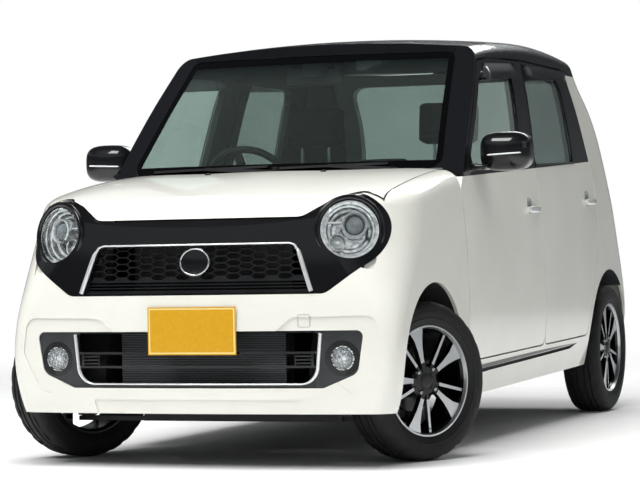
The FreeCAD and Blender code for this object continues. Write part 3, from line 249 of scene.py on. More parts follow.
# Grey used for painted shade in the door handles' recess bowls, and for the tow cover's seam line.
SHADE_AND_SEAM_GREY = moulded("grey_recess_shade_and_seam_abs", "#8B918F", "#9AA09D", 0.3)
LINER = moulded("felted_wheel_liner", "#0A0A0A", "#131313", 0.95, 400.0, 0.001)
CABIN = moulded("soft_dash_foam_skin", "#1B1D1F", "#26282A", 0.6, 500.0, 0.0005)
CHASSIS = moulded("dipped_black_steel", "#0F0F10", "#1B1A19", 0.5, 200.0, 0.0003)
CAST = moulded("sand_cast_iron", "#3B3A39", "#4A4947", 0.6, 300.0, 0.0006, 0.9)
TANK = moulded("blow_moulded_tank", "#101010", "#191919", 0.6, 150.0, 0.0006)
SEALER = moulded("sprayed_underbody_sealer", "#17181A", "#232426", 0.85, 120.0, 0.0012)
EXHAUST = moulded("dull_stainless_pipe", "#77716A", "#8E8982", 0.35, 300.0, 0.0002, 1.0)
PLATED = moulded("bright_plated_abs", "#D6D8DA", "#E8EAEB", 0.10, 60.0, 0.0001, 0.75)
HANDLE_BRIGHT = moulded("satin_chrome_handle", "#E9EBEB", "#F4F5F5", 0.22, 300.0, 0.0001, 0.55)
STEEL = moulded("zinc_plated_steel", "#9A9C9F", "#B8BABC", 0.25, 300.0, 0.0001, 1.0)
MIRROR = moulded("silvered_mirror_glass", "#C9D0D6", "#D3DADF", 0.02, 30.0, 0.00002, 1.0)
RED = moulded("red_reflex_acrylic", "#8E1317", "#A5191D", 0.12, 300.0, 0.0001)
PALE = moulded("frosted_white_acrylic", "#E3E6E6", "#EEF0F0", 0.2, 200.0, 0.0001)
RUBBER_TRIM = moulded("extruded_rubber_seal", "#0B0B0B", "#141414", 0.7, 500.0, 0.0003)


def plate_finish(name, centre_z):
    """Stamped and painted plate, bare: yellow with a thin pale raised border."""
    f = Finish(name)
    place = f.place()
    offset = f.add("VectorMath", LESS, place, (0, 0, centre_z))
    x, z = (f.add("Math", SIZE_OF, f.add("SeparateXYZ", None, offset, out=axis)) for axis in "XZ")
    edge = f.add("Math", EITHER, f.add("Math", LESS, x, 0.165), f.add("Math", LESS, z, 0.0825))
    border = f.add("Math", {"operation": "COMPARE"}, edge, -0.0065, 0.0022)
    speck = f.add("TexNoise", None, place, Scale=80.0, Detail=3.0)
    tone = f.ramp(speck, linear("#CE9800"), linear("#D59F02"), 0.3, 0.7)
    f.surface(Base_Color=f.blend(border, tone, linear("#F2DC93")), Roughness=0.35,
              Normal=f.add("Bump", None, Strength=0.5, Distance=0.001, Height=border))
    return f


def glass(name, tint, second, band=False):
    """Tinted float glass that lets light through, and on the windscreen a shaded band and a black printed edge."""
    f = Finish(name)
    place = f.place()
    cloud = f.add("TexNoise", None, place, Scale=2.0, Detail=2.0)
    tone = f.ramp(cloud, linear(tint), linear(second), 0.3, 0.7)
    if band:
        x, z = f.add("SeparateXYZ", None, place, out="X"), f.add("SeparateXYZ", None, place, out="Z")
        shade = f.add("MapRange", None, z, 1.40, 1.47)
        tone = f.blend(shade, tone, linear("#6F7C80"))
        slope = (WINDSCREEN_TOP[0] - WINDSCREEN_LOW[0]) / (WINDSCREEN_TOP[1] - WINDSCREEN_LOW[1])
        edge = f.add("Math", TIMES_PLUS, z, slope, WINDSCREEN_LOW[0] - slope * WINDSCREEN_LOW[1] - 0.024)
        print_side = f.add("Math", OVER, f.add("Math", SIZE_OF, x), edge)
        print_low = f.add("Math", UNDER, z, WINDSCREEN_LOW[1] + 0.030)
        print_top = f.add("Math", OVER, z, WINDSCREEN_TOP[1] - 0.028)
        printed = f.add("Math", EITHER, f.add("Math", EITHER, print_side, print_low), print_top)
        tone = f.blend(printed, tone, linear("#050506"))
        f.surface(Transmission_Weight=f.add("Math", LESS, 1.0, printed))
    else:
        f.surface(Transmission_Weight=1.0)
    f.surface(Base_Color=tone, Roughness=0.0, IOR=1.45)
    through = f.add("BsdfTransparent", None, tone)
    shadow = f.add("LightPath", out="Is Shadow Ray")
    mixed = f.add("MixShader", None, shadow, f.shader.outputs["BSDF"], through)
    f.tree.links.new(mixed, f.tree.nodes["Material Output"].inputs["Surface"])
    return f


GREEN_GLASS = glass("green_tinted_glass", "#C2D1CB", "#CBD9D3")
SCREEN_GLASS = glass("laminated_windscreen_glass", "#B9CAC5", "#C2D2CC", band=True)
PRIVACY_GLASS = glass("privacy_glass", "#8E9A97", "#99A5A1")
SMOKED = glass("smoked_acrylic", "#4A4D50", "#54575A")
LENS = glass("clear_polycarbonate", "#F3F6F6", "#FAFCFC")


def tail_lamp_finish():
    """Moulded lamp acrylic: red above, amber and clear below, with the prisms of its inner face."""
    f = Finish("tail_lamp_acrylic")
    place = f.place()
    z = f.add("SeparateXYZ", None, place, out="Z")
    prisms = f.add("TexVoronoi", None, place, Scale=120.0)
    red = f.ramp(prisms, linear("#A00C12"), linear("#7A060B"), 0.0, 0.9)
    low = f.blend(f.add("Math", UNDER, z, 0.745), red, linear("#C96A1E"))
    tone = f.blend(f.add("Math", UNDER, z, 0.70), low, linear("#D9DCDC"))
    f.surface(Base_Color=tone, Roughness=0.12, Coat_Weight=1.0, Coat_Roughness=0.02,
              Normal=f.add("Bump", None, Strength=0.3, Distance=0.002, Height=prisms))
    return f


def reflector_finish(name, facets):
    """Vacuum-coated reflector, stepped into small facets that break the light up."""
    f = Finish(name)
    place = f.place()
    cells = f.add("TexVoronoi", None, place, Scale=facets)
    tone = f.ramp(cells, linear("#F2F3F3"), linear("#B9BCBE"), 0.0, 0.8)
    f.surface(Base_Color=tone, Metallic=1.0, Roughness=0.12,
              Normal=f.add("Bump", None, Strength=0.6, Distance=0.003, Height=cells))
    return f


REFLECTOR = reflector_finish("vacuum_coated_reflector", 45.0)
FOG_REFLECTOR = reflector_finish("vacuum_coated_fog_reflector", 110.0)


def projector_finish():
    """Dark optical glass ball of the projector."""
    f = Finish("projector_glass")
    depth = f.add("TexNoise", None, f.place(), Scale=30.0, Detail=2.0)
    f.surface(Base_Color=f.ramp(depth, linear("#3C4448"), linear("#6B767B"), 0.2, 0.8), Roughness=0.03,
              Coat_Weight=1.0, Coat_Roughness=0.0, Specular_IOR_Level=0.8)
    return f


def tyre_rubber():
    """Moulded tyre rubber: near black, dull, with a light bloom of road dust."""
    f = Finish("moulded_tyre_rubber")
    place = f.place()
    dust = f.add("TexNoise", None, place, Scale=40.0, Detail=6.0)
    grain = f.add("TexNoise", None, place, Scale=700.0, Detail=2.0)
    f.surface(Base_Color=f.ramp(dust, linear("#0A0A0B"), linear("#161616"), 0.35, 0.75), Roughness=0.72,
              Normal=f.add("Bump", None, Strength=0.3, Distance=0.0005, Height=grain))
    return f


def radiator_finish():
    """Aluminium core: thin level fins between the tubes."""
    f = Finish("finned_aluminium_core")
    place = f.place()
    wave = f.add("TexWave", {"bands_direction": "Z"}, place, Scale=52.0)
    f.surface(Base_Color=f.ramp(wave, linear("#141516"), linear("#5F6265"), 0.25, 0.8), Metallic=0.6,
              Roughness=0.5, Normal=f.add("Bump", None, Strength=0.8, Distance=0.002, Height=wave))
    return f


def wheel_finish(name, centre, axis):
    """Cast alloy painted black, its outer faces and rim edge turned bright on the lathe."""
    f = Finish(name)
    offset = f.add("VectorMath", LESS, f.place(), tuple(centre))
    along = f.add("VectorMath", {"operation": "DOT_PRODUCT"}, offset, tuple(axis), out="Value")
    length = f.add("VectorMath", {"operation": "LENGTH"}, offset, out="Value")
    squares = f.add("Math", LESS, f.add("Math", TIMES, length, length), f.add("Math", TIMES, along, along))
    radius = f.add("Math", {"operation": "SQRT"}, squares)
    normal = f.add("TexCoord", out="Normal")
    facing = f.add("VectorMath", {"operation": "DOT_PRODUCT"}, normal, tuple(axis), out="Value")
    flat = f.add("Math", TIMES, f.add("Math", OVER, facing, 0.9), f.add("Math", OVER, radius, 0.066))
    flat = f.add("Math", TIMES, flat, f.add("Math", OVER, along, 0.052))
    lip = f.add("Math", TIMES, f.add("Math", OVER, radius, 0.1795), f.add("Math", OVER, along, 0.061))
    bright = f.add("Math", EITHER, flat, lip)
    turned = f.add("TexWave", {"wave_type": "RINGS", "rings_direction": "SPHERICAL"}, offset, Scale=180.0)
    metal = f.ramp(turned, linear("#BFC2C4"), linear("#D8DADC"), 0.2, 0.8)
    f.surface(Base_Color=f.blend(bright, linear("#0B0B0C"), metal), Metallic=bright,
              Roughness=f.add("Math", TIMES_PLUS, bright, 0.12, 0.22))
    return f


def woven(name, base, second):
    """Woven seat cloth: crossed threads about 1.5 mm apart with a soft sheen."""
    f = Finish(name)
    place = f.place()
    warp = f.add("TexWave", {"bands_direction": "X"}, place, Scale=210.0)
    weft = f.add("TexWave", {"bands_direction": "Z"}, place, Scale=210.0)
    weave = f.add("Math", TIMES, warp, weft)
    f.surface(Base_Color=f.ramp(weave, linear(base), linear(second), 0.1, 0.8), Roughness=0.9,
              Sheen_Weight=0.04, Specular_IOR_Level=0.25, Normal=f.add("Bump", None, Strength=0.4, Distance=0.0008, Height=weave))
    return f


RUBBER = tyre_rubber()
FABRIC = woven("woven_seat_fabric", "#1C1F22", "#2D3034")

FINISHES = {
    "body_white": WHITE, "gloss_black": BLACK, "window_glass": GREEN_GLASS, "lens_clear": LENS,
    "lamp_chrome": FOG_REFLECTOR, "lamp_red": tail_lamp_finish(), "grille_black": SATIN,
    "radiator_alloy": radiator_finish(), "cast_metal": CAST, "chassis_steel": CHASSIS, "tank_plastic": TANK,
    "exhaust_steel": EXHAUST, "underbody": SEALER, "trim_black": TRIM, "liner_black": LINER,
    "cabin_plastic": CABIN, "seat_fabric": FABRIC, "tyre_rubber": RUBBER,
}


def bezel_finish():
    """Grained dark grey bezel with glossier black rings round the fog lamps."""
    f = moulded("dark_grey_bezel", "#26282B", "#303336", 0.4)
    place = f.place()
    x, z = f.add("SeparateXYZ", None, place, out="X"), f.add("SeparateXYZ", None, place, out="Z")
    across = f.add("Math", LESS, f.add("Math", SIZE_OF, x), FOG.x)
    spot = f.add("CombineXYZ", None, across, 0.0, f.add("Math", LESS, z, FOG.z))
    near = f.add("Math", UNDER, f.add("VectorMath", {"operation": "LENGTH"}, spot, out="Value"), FOG_RADIUS + 0.019)
    inside = f.add("Math", UNDER, f.add("Math", SIZE_OF, x), 0.44)
    ring = f.add("Math", EITHER, near, inside)
    cloud = f.add("TexNoise", None, place, Scale=12.0, Detail=4.0)
    grey = f.ramp(cloud, linear("#26282B"), linear("#303336"), 0.3, 0.7)
    f.surface(Base_Color=f.blend(ring, grey, linear("#0E0E10")), Roughness=f.add("Math", TIMES_PLUS, ring, -0.2, 0.4))
    return f


BEZEL = bezel_finish()
MASK = mask_finish()


def wheel_frame(end, way):
    """Place of a wheel: its own Z is the axle, pointing out of the car."""
    if end == "rear":
        centre, axis = Vector((way * TRACK / 2, REAR_AXLE, HUB_Z)), Vector((way, 0, 0))
    else:
        axis = Vector((way * math.cos(STEER), -way * math.sin(STEER), 0))
        centre = Vector((way * KINGPIN_X, FRONT_AXLE, HUB_Z)) + axis * (TRACK / 2 - KINGPIN_X)
    down = Vector((0, 0, -way))
    turn = Matrix((down, axis.cross(down), axis)).transposed().to_4x4()
    return Matrix.Translation(centre) @ turn


for node_name, thing in NODES.items():
    slot_name = {part["node"]: part["material_slot"] for part in frame["record"]["subparts"]}[node_name]
    finish = FINISHES.get(slot_name, WHITE)
    side_of = -1 if node_name.endswith("_right") else 1
    if node_name.startswith("side_frame"):
        finish = shell("painted_" + node_name, side_of, REAR_AXLE)
    elif "_door_left" in node_name or "_door_right" in node_name:
        finish = shell("painted_" + node_name, side_of)
    elif node_name.startswith("wheel_"):
        place_of = wheel_frame(node_name.split("_")[1], side_of)
        finish = wheel_finish("turned_" + node_name, place_of.translation, place_of.col[2].xyz)
    elif node_name == "front_plate":
        finish = plate_finish("stamped_front_plate", 0.477)
    elif node_name == "rear_plate":
        finish = plate_finish("stamped_rear_plate", 0.8025)
    elif node_name == "windscreen":
        finish = SCREEN_GLASS
    elif node_name in ("tailgate_glass", "rear_door_glass_left", "rear_door_glass_right"):
        finish = PRIVACY_GLASS
    elif node_name == "lower_grille":
        finish = BEZEL
    elif node_name == "front_mask":
        finish = MASK
    thing.data.materials.clear()
    thing.data.materials.append(finish.material)


# Making pieces

def smooth_by_angle(bm, degrees):
    """Round faces shade smooth, and edges sharper than the angle stay crisp."""
    for face in bm.faces:
        face.smooth = True
    for edge in bm.edges:
        edge.smooth = not (edge.is_manifold and edge.calc_face_angle(0.0) > math.radians(degrees))


def piece(name, bm, finish, body="root", replaced=(), angle=38, recalc=True):
    if recalc:
        bmesh.ops.recalc_face_normals(bm, faces=bm.faces)
    smooth_by_angle(bm, angle)
    mesh = bpy.data.meshes.new(name)
    bm.to_mesh(mesh)
    bm.free()
    mesh.materials.append(finish.material)
    thing = bpy.data.objects.new(name, mesh)
    scene.collection.objects.link(thing)
    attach(thing, body)
    if replaced:
        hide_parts(*replaced)
    return thing


def facing(place, axis, up=(0, 0, 1)):
    """Frame at a place whose Z is the axis and whose Y is as near up as can be."""
    z = Vector(axis).normalized()
    y = Vector(up) - z * Vector(up).dot(z)
    if y.length < 1e-4:
        y = Vector((0, 1, 0)) - z * z.y
    y.normalize()
    turn = Matrix((y.cross(z), y, z)).transposed().to_4x4()
    return Matrix.Translation(Vector(place)) @ turn


def block(bm, sizes, frame_of, bevel=0.0, segments=3):
    """Box with rounded edges, its sizes along the frame's own axes."""
    if not isinstance(frame_of, Matrix):
        frame_of = Matrix.Translation(Vector(frame_of))
    made = bmesh.ops.create_cube(bm, size=1.0, matrix=frame_of @ Matrix.Diagonal((*sizes, 1)))
    if bevel:
        edges = list({edge for corner in made["verts"] for edge in corner.link_edges})
        bmesh.ops.bevel(bm, geom=edges, offset=bevel, offset_type="OFFSET", affect="EDGES", segments=segments,
                        profile=0.5, material=-1)


def spun(bm, profile, frame_of, steps=48):
    """Turned form: profile points (radius, height) spun round the frame's Z."""
    corners = [bm.verts.new(frame_of @ Vector((radius, 0, height))) for radius, height in profile]
    edges = [bm.edges.new(pair) for pair in zip(corners, corners[1:])]
    bmesh.ops.spin(bm, geom=corners + edges, cent=frame_of.translation, axis=frame_of.col[2].xyz,
                   angle=math.tau, steps=steps, use_merge=True)
    bmesh.ops.remove_doubles(bm, verts=bm.verts, dist=0.00002)


def tube(bm, points, radius, closed=False, widths=None, sides=3):
    """Round wire or rod along points."""
    curve = bpy.data.curves.new("path", "CURVE")
    curve.dimensions = "3D"
    curve.bevel_depth = radius
    curve.bevel_resolution = sides
    curve.use_fill_caps = not closed
    path = curve.splines.new("POLY")
    path.points.add(len(points) - 1)
    path.use_cyclic_u = closed
    for i, (knot, point) in enumerate(zip(path.points, points)):
        knot.co = (*point, 1)
        knot.radius = widths[i] if widths else 1.0
    thing = bpy.data.objects.new("path", curve)
    bm.from_mesh(thing.to_mesh())
    thing.to_mesh_clear()
    bpy.data.objects.remove(thing)
    bpy.data.curves.remove(curve)


def rounded(corners, steps=8, closed=True):
    """Outline through corners (first, second, radius), each rounded, as a list of places."""
    places = []
    count = len(corners)
    for i, (a, b, radius) in enumerate(corners):
        corner = Vector((a, b))
        if not closed and i in (0, count - 1):
            places.append(corner)
            continue
        back = (Vector(corners[i - 1][:2]) - corner).normalized()
        ahead = (Vector(corners[(i + 1) % count][:2]) - corner).normalized()
        half = back.angle(ahead) / 2
        middle = corner + (back + ahead).normalized() * (radius / math.sin(half))
        first, last = corner + back * (radius / math.tan(half)), corner + ahead * (radius / math.tan(half))
        for k in range(steps + 1):
            spoke = (first - middle).lerp(last - middle, k / steps)
            places.append(middle + spoke.normalized() * radius if radius else corner)
            if not radius:
                break
    return places


class Skin:
    """Surface of CAD nodes, to lay trims on."""

    def __init__(self, *nodes):
        bm = bmesh.new()
        for node in nodes:
            bm.from_mesh(NODES[node].data)
        bmesh.ops.triangulate(bm, faces=bm.faces)
        self.tree = BVHTree.FromBMesh(bm)
        bm.free()

    def hit(self, start, way):
        place, normal, _, _ = self.tree.ray_cast(Vector(start), Vector(way))
        return place, normal

    def side(self, y, z, way=1, out=0.0):
        """Point on the car's side, at a height over it."""
        place, normal = self.hit((way * 2, y, z), (-way, 0, 0))
        if place is None:
            place, normal, _, _ = self.tree.find_nearest(Vector((way * 0.75, y, z)))
        return place + normal * out if normal.x * way > 0 else place - normal * out

    def front(self, x, z, out=0.0):
        place, normal = self.hit((x, -3, z), (0, 1, 0))
        if place is None:
            place, normal, _, _ = self.tree.find_nearest(Vector((x, -1.66, z)))
        return place + normal * out if normal.y < 0 else place - normal * out

    def rear(self, x, z, out=0.0):
        place, normal = self.hit((x, 3, z), (0, -1, 0))
        if place is None:
            place, normal, _, _ = self.tree.find_nearest(Vector((x, 1.66, z)))
        return place + normal * out if normal.y > 0 else place - normal * out


def laid(bm, lines):
    """Skin through rows of points."""
    rows = [[bm.verts.new(point) for point in row] for row in lines]
    faces = []
    for low, high in zip(rows, rows[1:]):
        for a, b, c, d in zip(low, low[1:], high[1:], high):
            faces.append(bm.faces.new((a, b, c, d)))
    return faces


nose_skin = Skin("front_mask", "front_bumper", "bonnet", "front_fenders")
side_skins = {way: Skin(*[node.replace("left", side) for node in (
    "side_frame_left", "front_door_left", "rear_door_left", "front_door_glass_left", "rear_door_glass_left")])
    for side, way in SIDES}
tail_skin = Skin("tailgate", "rear_bumper", "tail_lamps")

# Front face: bright trim round the upper grille, bare badge, lamps, bumper details.
GRILLE = ((-0.428, 0.609, 0.0), (-0.372, 0.769, 0.043), (0.372, 0.769, 0.043), (0.428, 0.609, 0.0))
bm = bmesh.new()
path = rounded(GRILLE, 8, closed=False)
start = [path[0].lerp(path[1], k / 6) for k in range(6)]
end = [path[-1].lerp(path[-2], k / 6) for k in range(5, -1, -1)]
middle = path[1:-1]
top_start = len(middle) // 2
across = [middle[top_start - 1].lerp(middle[top_start], k / 24) for k in range(1, 24)]
whole = start + middle[:top_start] + across + middle[top_start:] + end
widths = [max(0.4, min(1.0, (0.783 - p.y) / 0.045)) for p in whole]
tube(bm, [nose_skin.front(p.x * 1.008, p.y + (0.005 if p.y > 0.76 else 0), 0.0020) for p in whole], 0.0080,
     widths=widths)
piece("grille_bright_trim", bm, HANDLE_BRIGHT)

BADGE_Z = 0.714
bm = bmesh.new()
badge_place = nose_skin.front(0.0, 0.79)
badge_frame = facing((0, badge_place.y - 0.001, BADGE_Z), (0, -1, 0.12))
spun(bm, ((0, 0.004), (0.034, 0.003), (0.040, 0), (0.040, -0.016), (0, -0.016)),
     badge_frame @ Matrix.Diagonal((1.32, 1.12, 1, 1)), 48)
piece("bare_badge_oval", bm, BLACK)
bm = bmesh.new()
tube(bm, [badge_frame @ Vector((0.0535 * math.cos(t), 0.0455 * math.sin(t), 0.001))
          for t in (math.tau * k / 48 for k in range(48))], 0.0030, closed=True)
piece("bare_badge_rim", bm, PLATED)

# Headlamps: stepped bowl, projector high and outward, small round bowl low and inward.
bowls, rims, balls, seats, bulbs = (bmesh.new() for _ in range(5))
for side, way in SIDES:
    seat = Vector((way * LAMP_SEAT.x, LAMP_SEAT.y, LAMP_SEAT.z))
    axis = Vector((way * LAMP_AXIS.x, LAMP_AXIS.y, LAMP_AXIS.z))
    base = facing(seat, axis)
    outward = Vector((way, 0, 0)).dot(base.col[0].xyz)
    outward = 1 if outward > 0 else -1
    spun(bowls, ((0, -0.105), (0.062, -0.105), (LAMP_RADIUS, 0), (0.0965, 0), (0.094, -0.016), (0.089, -0.018),
                 (0.086, -0.032), (0.080, -0.034), (0.074, -0.052), (0.066, -0.055), (0.058, -0.078),
                 (0, -0.088)), base, 64)
    high = base @ Matrix.Translation((outward * 0.018, 0.018, 0))
    spun(rims, ((0.034, -0.030), (0.0375, -0.0165), (0.041, -0.0125), (0.0445, -0.0165), (0.0445, -0.075),
                (0.034, -0.075)), high, 56)
    spun(balls, ((0, -0.0145), (0.012, -0.0160), (0.022, -0.0205), (0.0295, -0.028), (0.0338, -0.038),
                 (0.0338, -0.07), (0, -0.07)), high, 48)
    low = base @ Matrix.Translation((-outward * 0.041, -0.040, 0))
    spun(seats, ((0.026, -0.024), (0.028, -0.022), (0.030, -0.024), (0.030, -0.07), (0.0, -0.07), (0.0, -0.052),
                 (0.012, -0.050), (0.021, -0.040)), low, 40)
    spun(bulbs, ((0, -0.032), (0.005, -0.034), (0.007, -0.040), (0.006, -0.052), (0, -0.052)), low, 20)
    block(seats, (0.05, 0.007, 0.03), base @ Matrix.Translation((-outward * 0.05, 0.028, -0.045)), 0.002)
piece("headlamp_bowls", bowls, REFLECTOR, replaced=("headlamps",))
piece("headlamp_projector_rims", rims, PLATED)
piece("headlamp_projector_glass", balls, projector_finish())
piece("headlamp_side_light_bowls", seats, PLATED)
piece("headlamp_side_light_bulbs", bulbs, PALE)

# Fog lamps: deep bowl behind a domed clear lens.
bowls, domes, caps = bmesh.new(), bmesh.new(), bmesh.new()
for side, way in SIDES:
    base = facing((way * FOG.x, FOG.y, FOG.z), (0, -1, 0))
    spun(bowls, ((0, -0.060), (FOG_RADIUS, -0.060), (FOG_RADIUS, -0.001), (0.0385, -0.001), (0.035, -0.014),
                 (0.024, -0.030), (0.010, -0.037), (0, -0.037)), base, 48)
    spun(domes, ((0, 0.0075), (0.015, 0.0064), (0.028, 0.0035), (0.0375, -0.0005), (0.0375, -0.003),
                 (0.027, 0.0005), (0.014, 0.0034), (0, 0.0045)), base, 40)
    spun(caps, ((0, -0.012), (0.0075, -0.014), (0.0095, -0.020), (0.0095, -0.036), (0, -0.036)), base, 24)
piece("fog_lamp_bowls", bowls, FOG_REFLECTOR, replaced=("fog_lamps",))
piece("fog_lamp_lenses", domes, LENS)
piece("fog_lamp_bulb_shields", caps, PLATED)

# Lower intake: bright line round it, three short louvres at each end, and the tow eye's cover.
intake_skin = Skin("lower_grille")
INTAKE = ((-0.4600, 0.466, 0.0), (-0.4435, 0.2925, 0.062), (0.4435, 0.2925, 0.062), (0.4600, 0.466, 0.0))
bm = bmesh.new()
path = rounded(INTAKE, 8, closed=False)
bottom = [path[9].lerp(path[10], k / 20) for k in range(1, 20)]
whole = path[:10] + bottom + path[10:]
tube(bm, [intake_skin.front(p.x, p.y, 0.0016) for p in whole], 0.0062,
     widths=[0.5 + 0.5 * max(0.0, min(1.0, (abs(p.x) - 0.40) / 0.04)) for p in whole])
piece("intake_bright_trim", bm, HANDLE_BRIGHT)
bm = bmesh.new()
for _, way in SIDES:
    edge = intake_skin.front(way * 0.470, 0.372, -0.006)
    for z in (0.364, 0.376, 0.388):
        block(bm, (0.062, 0.014, 0.0048), (way * 0.398, edge.y - 0.008, z), 0.0012)
    block(bm, (0.010, 0.014, 0.044), (way * 0.431, edge.y - 0.006, 0.376), 0.002)
    block(bm, (0.005, 0.010, 0.040), (way * 0.368, edge.y - 0.007, 0.376), 0.0012)
piece("intake_end_louvres", bm, SATIN)
bm, seam = bmesh.new(), bmesh.new()
TOW = rounded(((0.384, 0.530, 0.006), (0.426, 0.530, 0.006), (0.426, 0.487, 0.006), (0.384, 0.487, 0.006)), 4)
tube(seam, [nose_skin.front(p.x, p.y, 0.0) for p in TOW], 0.0009, closed=True)
piece("tow_cover_seam", seam, SHADE_AND_SEAM_GREY)

# Corner pieces between bumper, fender and mask, and dark rods down in the bonnet's side gaps as painted shade.
bm, gap_shade = bmesh.new(), bmesh.new()
for _, way in SIDES:
    low_in, low_out = nose_skin.front(way * 0.598, 0.658, -0.0020), nose_skin.front(way * 0.658, 0.655, -0.0020)
    high_out = nose_skin.front(way * 0.658, 0.748, -0.0080)
    high_in = high_out + (low_in - low_out) * 0.5 + Vector((0, 0.0060, 0))
    laid(bm, [[low_in.lerp(high_in, k / 8).lerp(low_out.lerp(high_out, k / 8), i / 8) for i in range(9)]
              for k in range(9)])
    # Dark rod sunk in the gap: painted shade of the bonnet's side gap.
    line = []
    for k in range(31):
        y = -1.500 + 0.620 * k / 30
        inner, _ = nose_skin.hit((way * 0.633, y, 2), (0, 0, -1))
        outer, _ = nose_skin.hit((way * 0.647, y, 2), (0, 0, -1))
        if inner is not None and outer is not None and abs(inner.z - outer.z) < 0.03:
            line.append((inner + outer) / 2 - Vector((0, 0, 0.0042)))
    tube(gap_shade, line, 0.0024)
bmesh.ops.recalc_face_normals(bm, faces=bm.faces)
bmesh.ops.solidify(bm, geom=list(bm.faces), thickness=0.0020)
piece("nose_corner_fillers", bm, WHITE)
piece("bonnet_gap_shade_rods", gap_shade, RUBBER_TRIM)

# Washer jets on the bonnet.
bm = bmesh.new()
cowl_skin = Skin("bonnet")
for _, way in SIDES:
    place, normal = cowl_skin.hit((way * 0.23, -0.985, 2), (0, 0, -1))
    if place is not None:
        block(bm, (0.020, 0.016, 0.008), facing(place + normal * 0.003, normal, (0, -1, 0)), 0.0028)
piece("washer_jets", bm, SATIN, "bonnet")

# Doors: smoked visors, window seals, a lock barrel on the driver's side.
FRONT_VISOR = ((-0.333, 1.388), (0.216, 1.424), (-0.263, 1.458), (0.170, 1.482))
VISOR_LEVEL, CABIN_LEAN = 1.465, 0.223
REAR_VISOR = ((0.306, 1.419), (0.968, 1.454), (0.296, 1.486), (0.985, 1.497))
for side, way in SIDES:
    skin = side_skins[way]
    for door, (low_a, low_b, top_a, top_b) in (("front", FRONT_VISOR), ("rear", REAR_VISOR)):
        bm = bmesh.new()
        lines = []
        for row in range(9):
            down = row / 8
            line = []
            for k in range(25):
                along = k / 24
                spot = Vector(top_a).lerp(Vector(top_b), along).lerp(Vector(low_a).lerp(Vector(low_b), along), down)
                ends = min(1.0, math.sin(math.pi * max(0.02, min(0.98, along))) * 3.2)
                stand = 0.0015 + 0.016 * math.sin(math.radians(90 * down)) * ends
                level = skin.side(spot.x, VISOR_LEVEL, way).x + way * CABIN_LEAN * (VISOR_LEVEL - spot.y)
                line.append(Vector((level + way * stand, spot.x, spot.y)))
            lines.append(line)
        faces = laid(bm, lines)
        bmesh.ops.recalc_face_normals(bm, faces=bm.faces)
        bmesh.ops.solidify(bm, geom=faces, thickness=0.0028)
        piece("%s_visor_%s" % (door, side), bm, SMOKED, "%s_door_%s" % (door, side))
    for door, seal in (("front", ((-0.690, 1.0555), (0.002, 1.0655))), ("rear", ((0.210, 1.0755), (0.826, 1.0955)))):
        bm = bmesh.new()
        a, b = Vector(seal[0]), Vector(seal[1])
        line = [a.lerp(b, k / 20) for k in range(21)]
        tube(bm, [side_skins[way].side(p.x, p.y - 0.004, way, 0.0008) for p in line], 0.0042, sides=2)
        piece("%s_window_seal_%s" % (door, side), bm, RUBBER_TRIM, "%s_door_%s" % (door, side))
# Handles: bowls in the recesses, grey as painted shade, bright covers over the painted bars. Skirts: black band over
# the groove, painted shade of the groove.
HANDLES = (("front", 0.727, 0.008, 0.888), ("rear", 0.717, 0.945, 0.926))
for side, way in SIDES:
    for door, skin_x, y, z in HANDLES:
        bm = bmesh.new()
        spun(bm, ((0.0, -0.0078), (0.016, -0.0072), (0.026, -0.0052), (0.0325, -0.0014), (0.0335, -0.0030),
                  (0.0330, -0.0088), (0, -0.0088)), facing((way * skin_x, y + 0.018, z + 0.016), (way, 0, 0)), 40)
        # The bowl's grey is painted shade of the handle recess.
        piece("%s_handle_shade_bowl_%s" % (door, side), bm, SHADE_AND_SEAM_GREY, "%s_door_%s" % (door, side))
        bm = bmesh.new()
        block(bm, (0.0150, 0.1320, 0.0235), (way * (skin_x + 0.0115), y + 0.048, z), 0.0055, 4)
        piece("%s_handle_cover_%s" % (door, side), bm, HANDLE_BRIGHT, "%s_door_%s" % (door, side))
    # Skirt: black band laid over the groove, painted shade of the groove.
    bm = bmesh.new()
    lines = []
    for row in range(4):
        line = []
        for k in range(41):
            y = -0.868 + 1.618 * k / 40
            base_z = 0.2850 + 0.0405 * (k / 40)
            high = 0.0150 * (1 - (k / 40) ** 3)
            line.append(side_skins[way].side(y, base_z + high * row / 3, way, 0.0006))
        lines.append(line)
    faces = laid(bm, lines)
    bmesh.ops.recalc_face_normals(bm, faces=bm.faces)
    bmesh.ops.solidify(bm, geom=faces, thickness=0.0010)
    piece("skirt_groove_shade_band_" + side, bm, SATIN)
bm = bmesh.new()
place = side_skins[-1].side(-0.065, 0.888, -1)
spun(bm, ((0, 0.0018), (0.0075, 0.0018), (0.010, 0.0002), (0.010, -0.002)), facing(place, (-1, 0, 0.05)), 28)
piece("lock_barrel", bm, STEEL, "front_door_right")

# Door mirrors: domed housing on its arm, silvered glass, clear light slit round the front.
MIRROR_MIDDLE, MIRROR_HALF = Vector((0.8155, -0.6000, 1.1010)), Vector((0.0975, 0.0545, 0.0725))
MIRROR_FACE_CURVE, MIRROR_DEPTH_CURVE = 3.3, 2.5


def mirror_dome(p):
    """Puts a point of a cube's surface on the housing: domed to the front, straight walls and flat to the rear."""
    plane = (abs(p.x) ** MIRROR_FACE_CURVE + abs(p.z) ** MIRROR_FACE_CURVE) ** (1 / MIRROR_FACE_CURVE)
    if p.y <= 0:
        return p / (plane ** MIRROR_DEPTH_CURVE + abs(p.y) ** MIRROR_DEPTH_CURVE) ** (1 / MIRROR_DEPTH_CURVE)
    inwards = max(abs(p.x), abs(p.z)) / max(plane, 1e-6) * (1 - 0.06 * max(0.0, (p.y - 0.6) / 0.4) ** 2)
    return Vector((p.x * inwards, p.y, p.z * inwards))


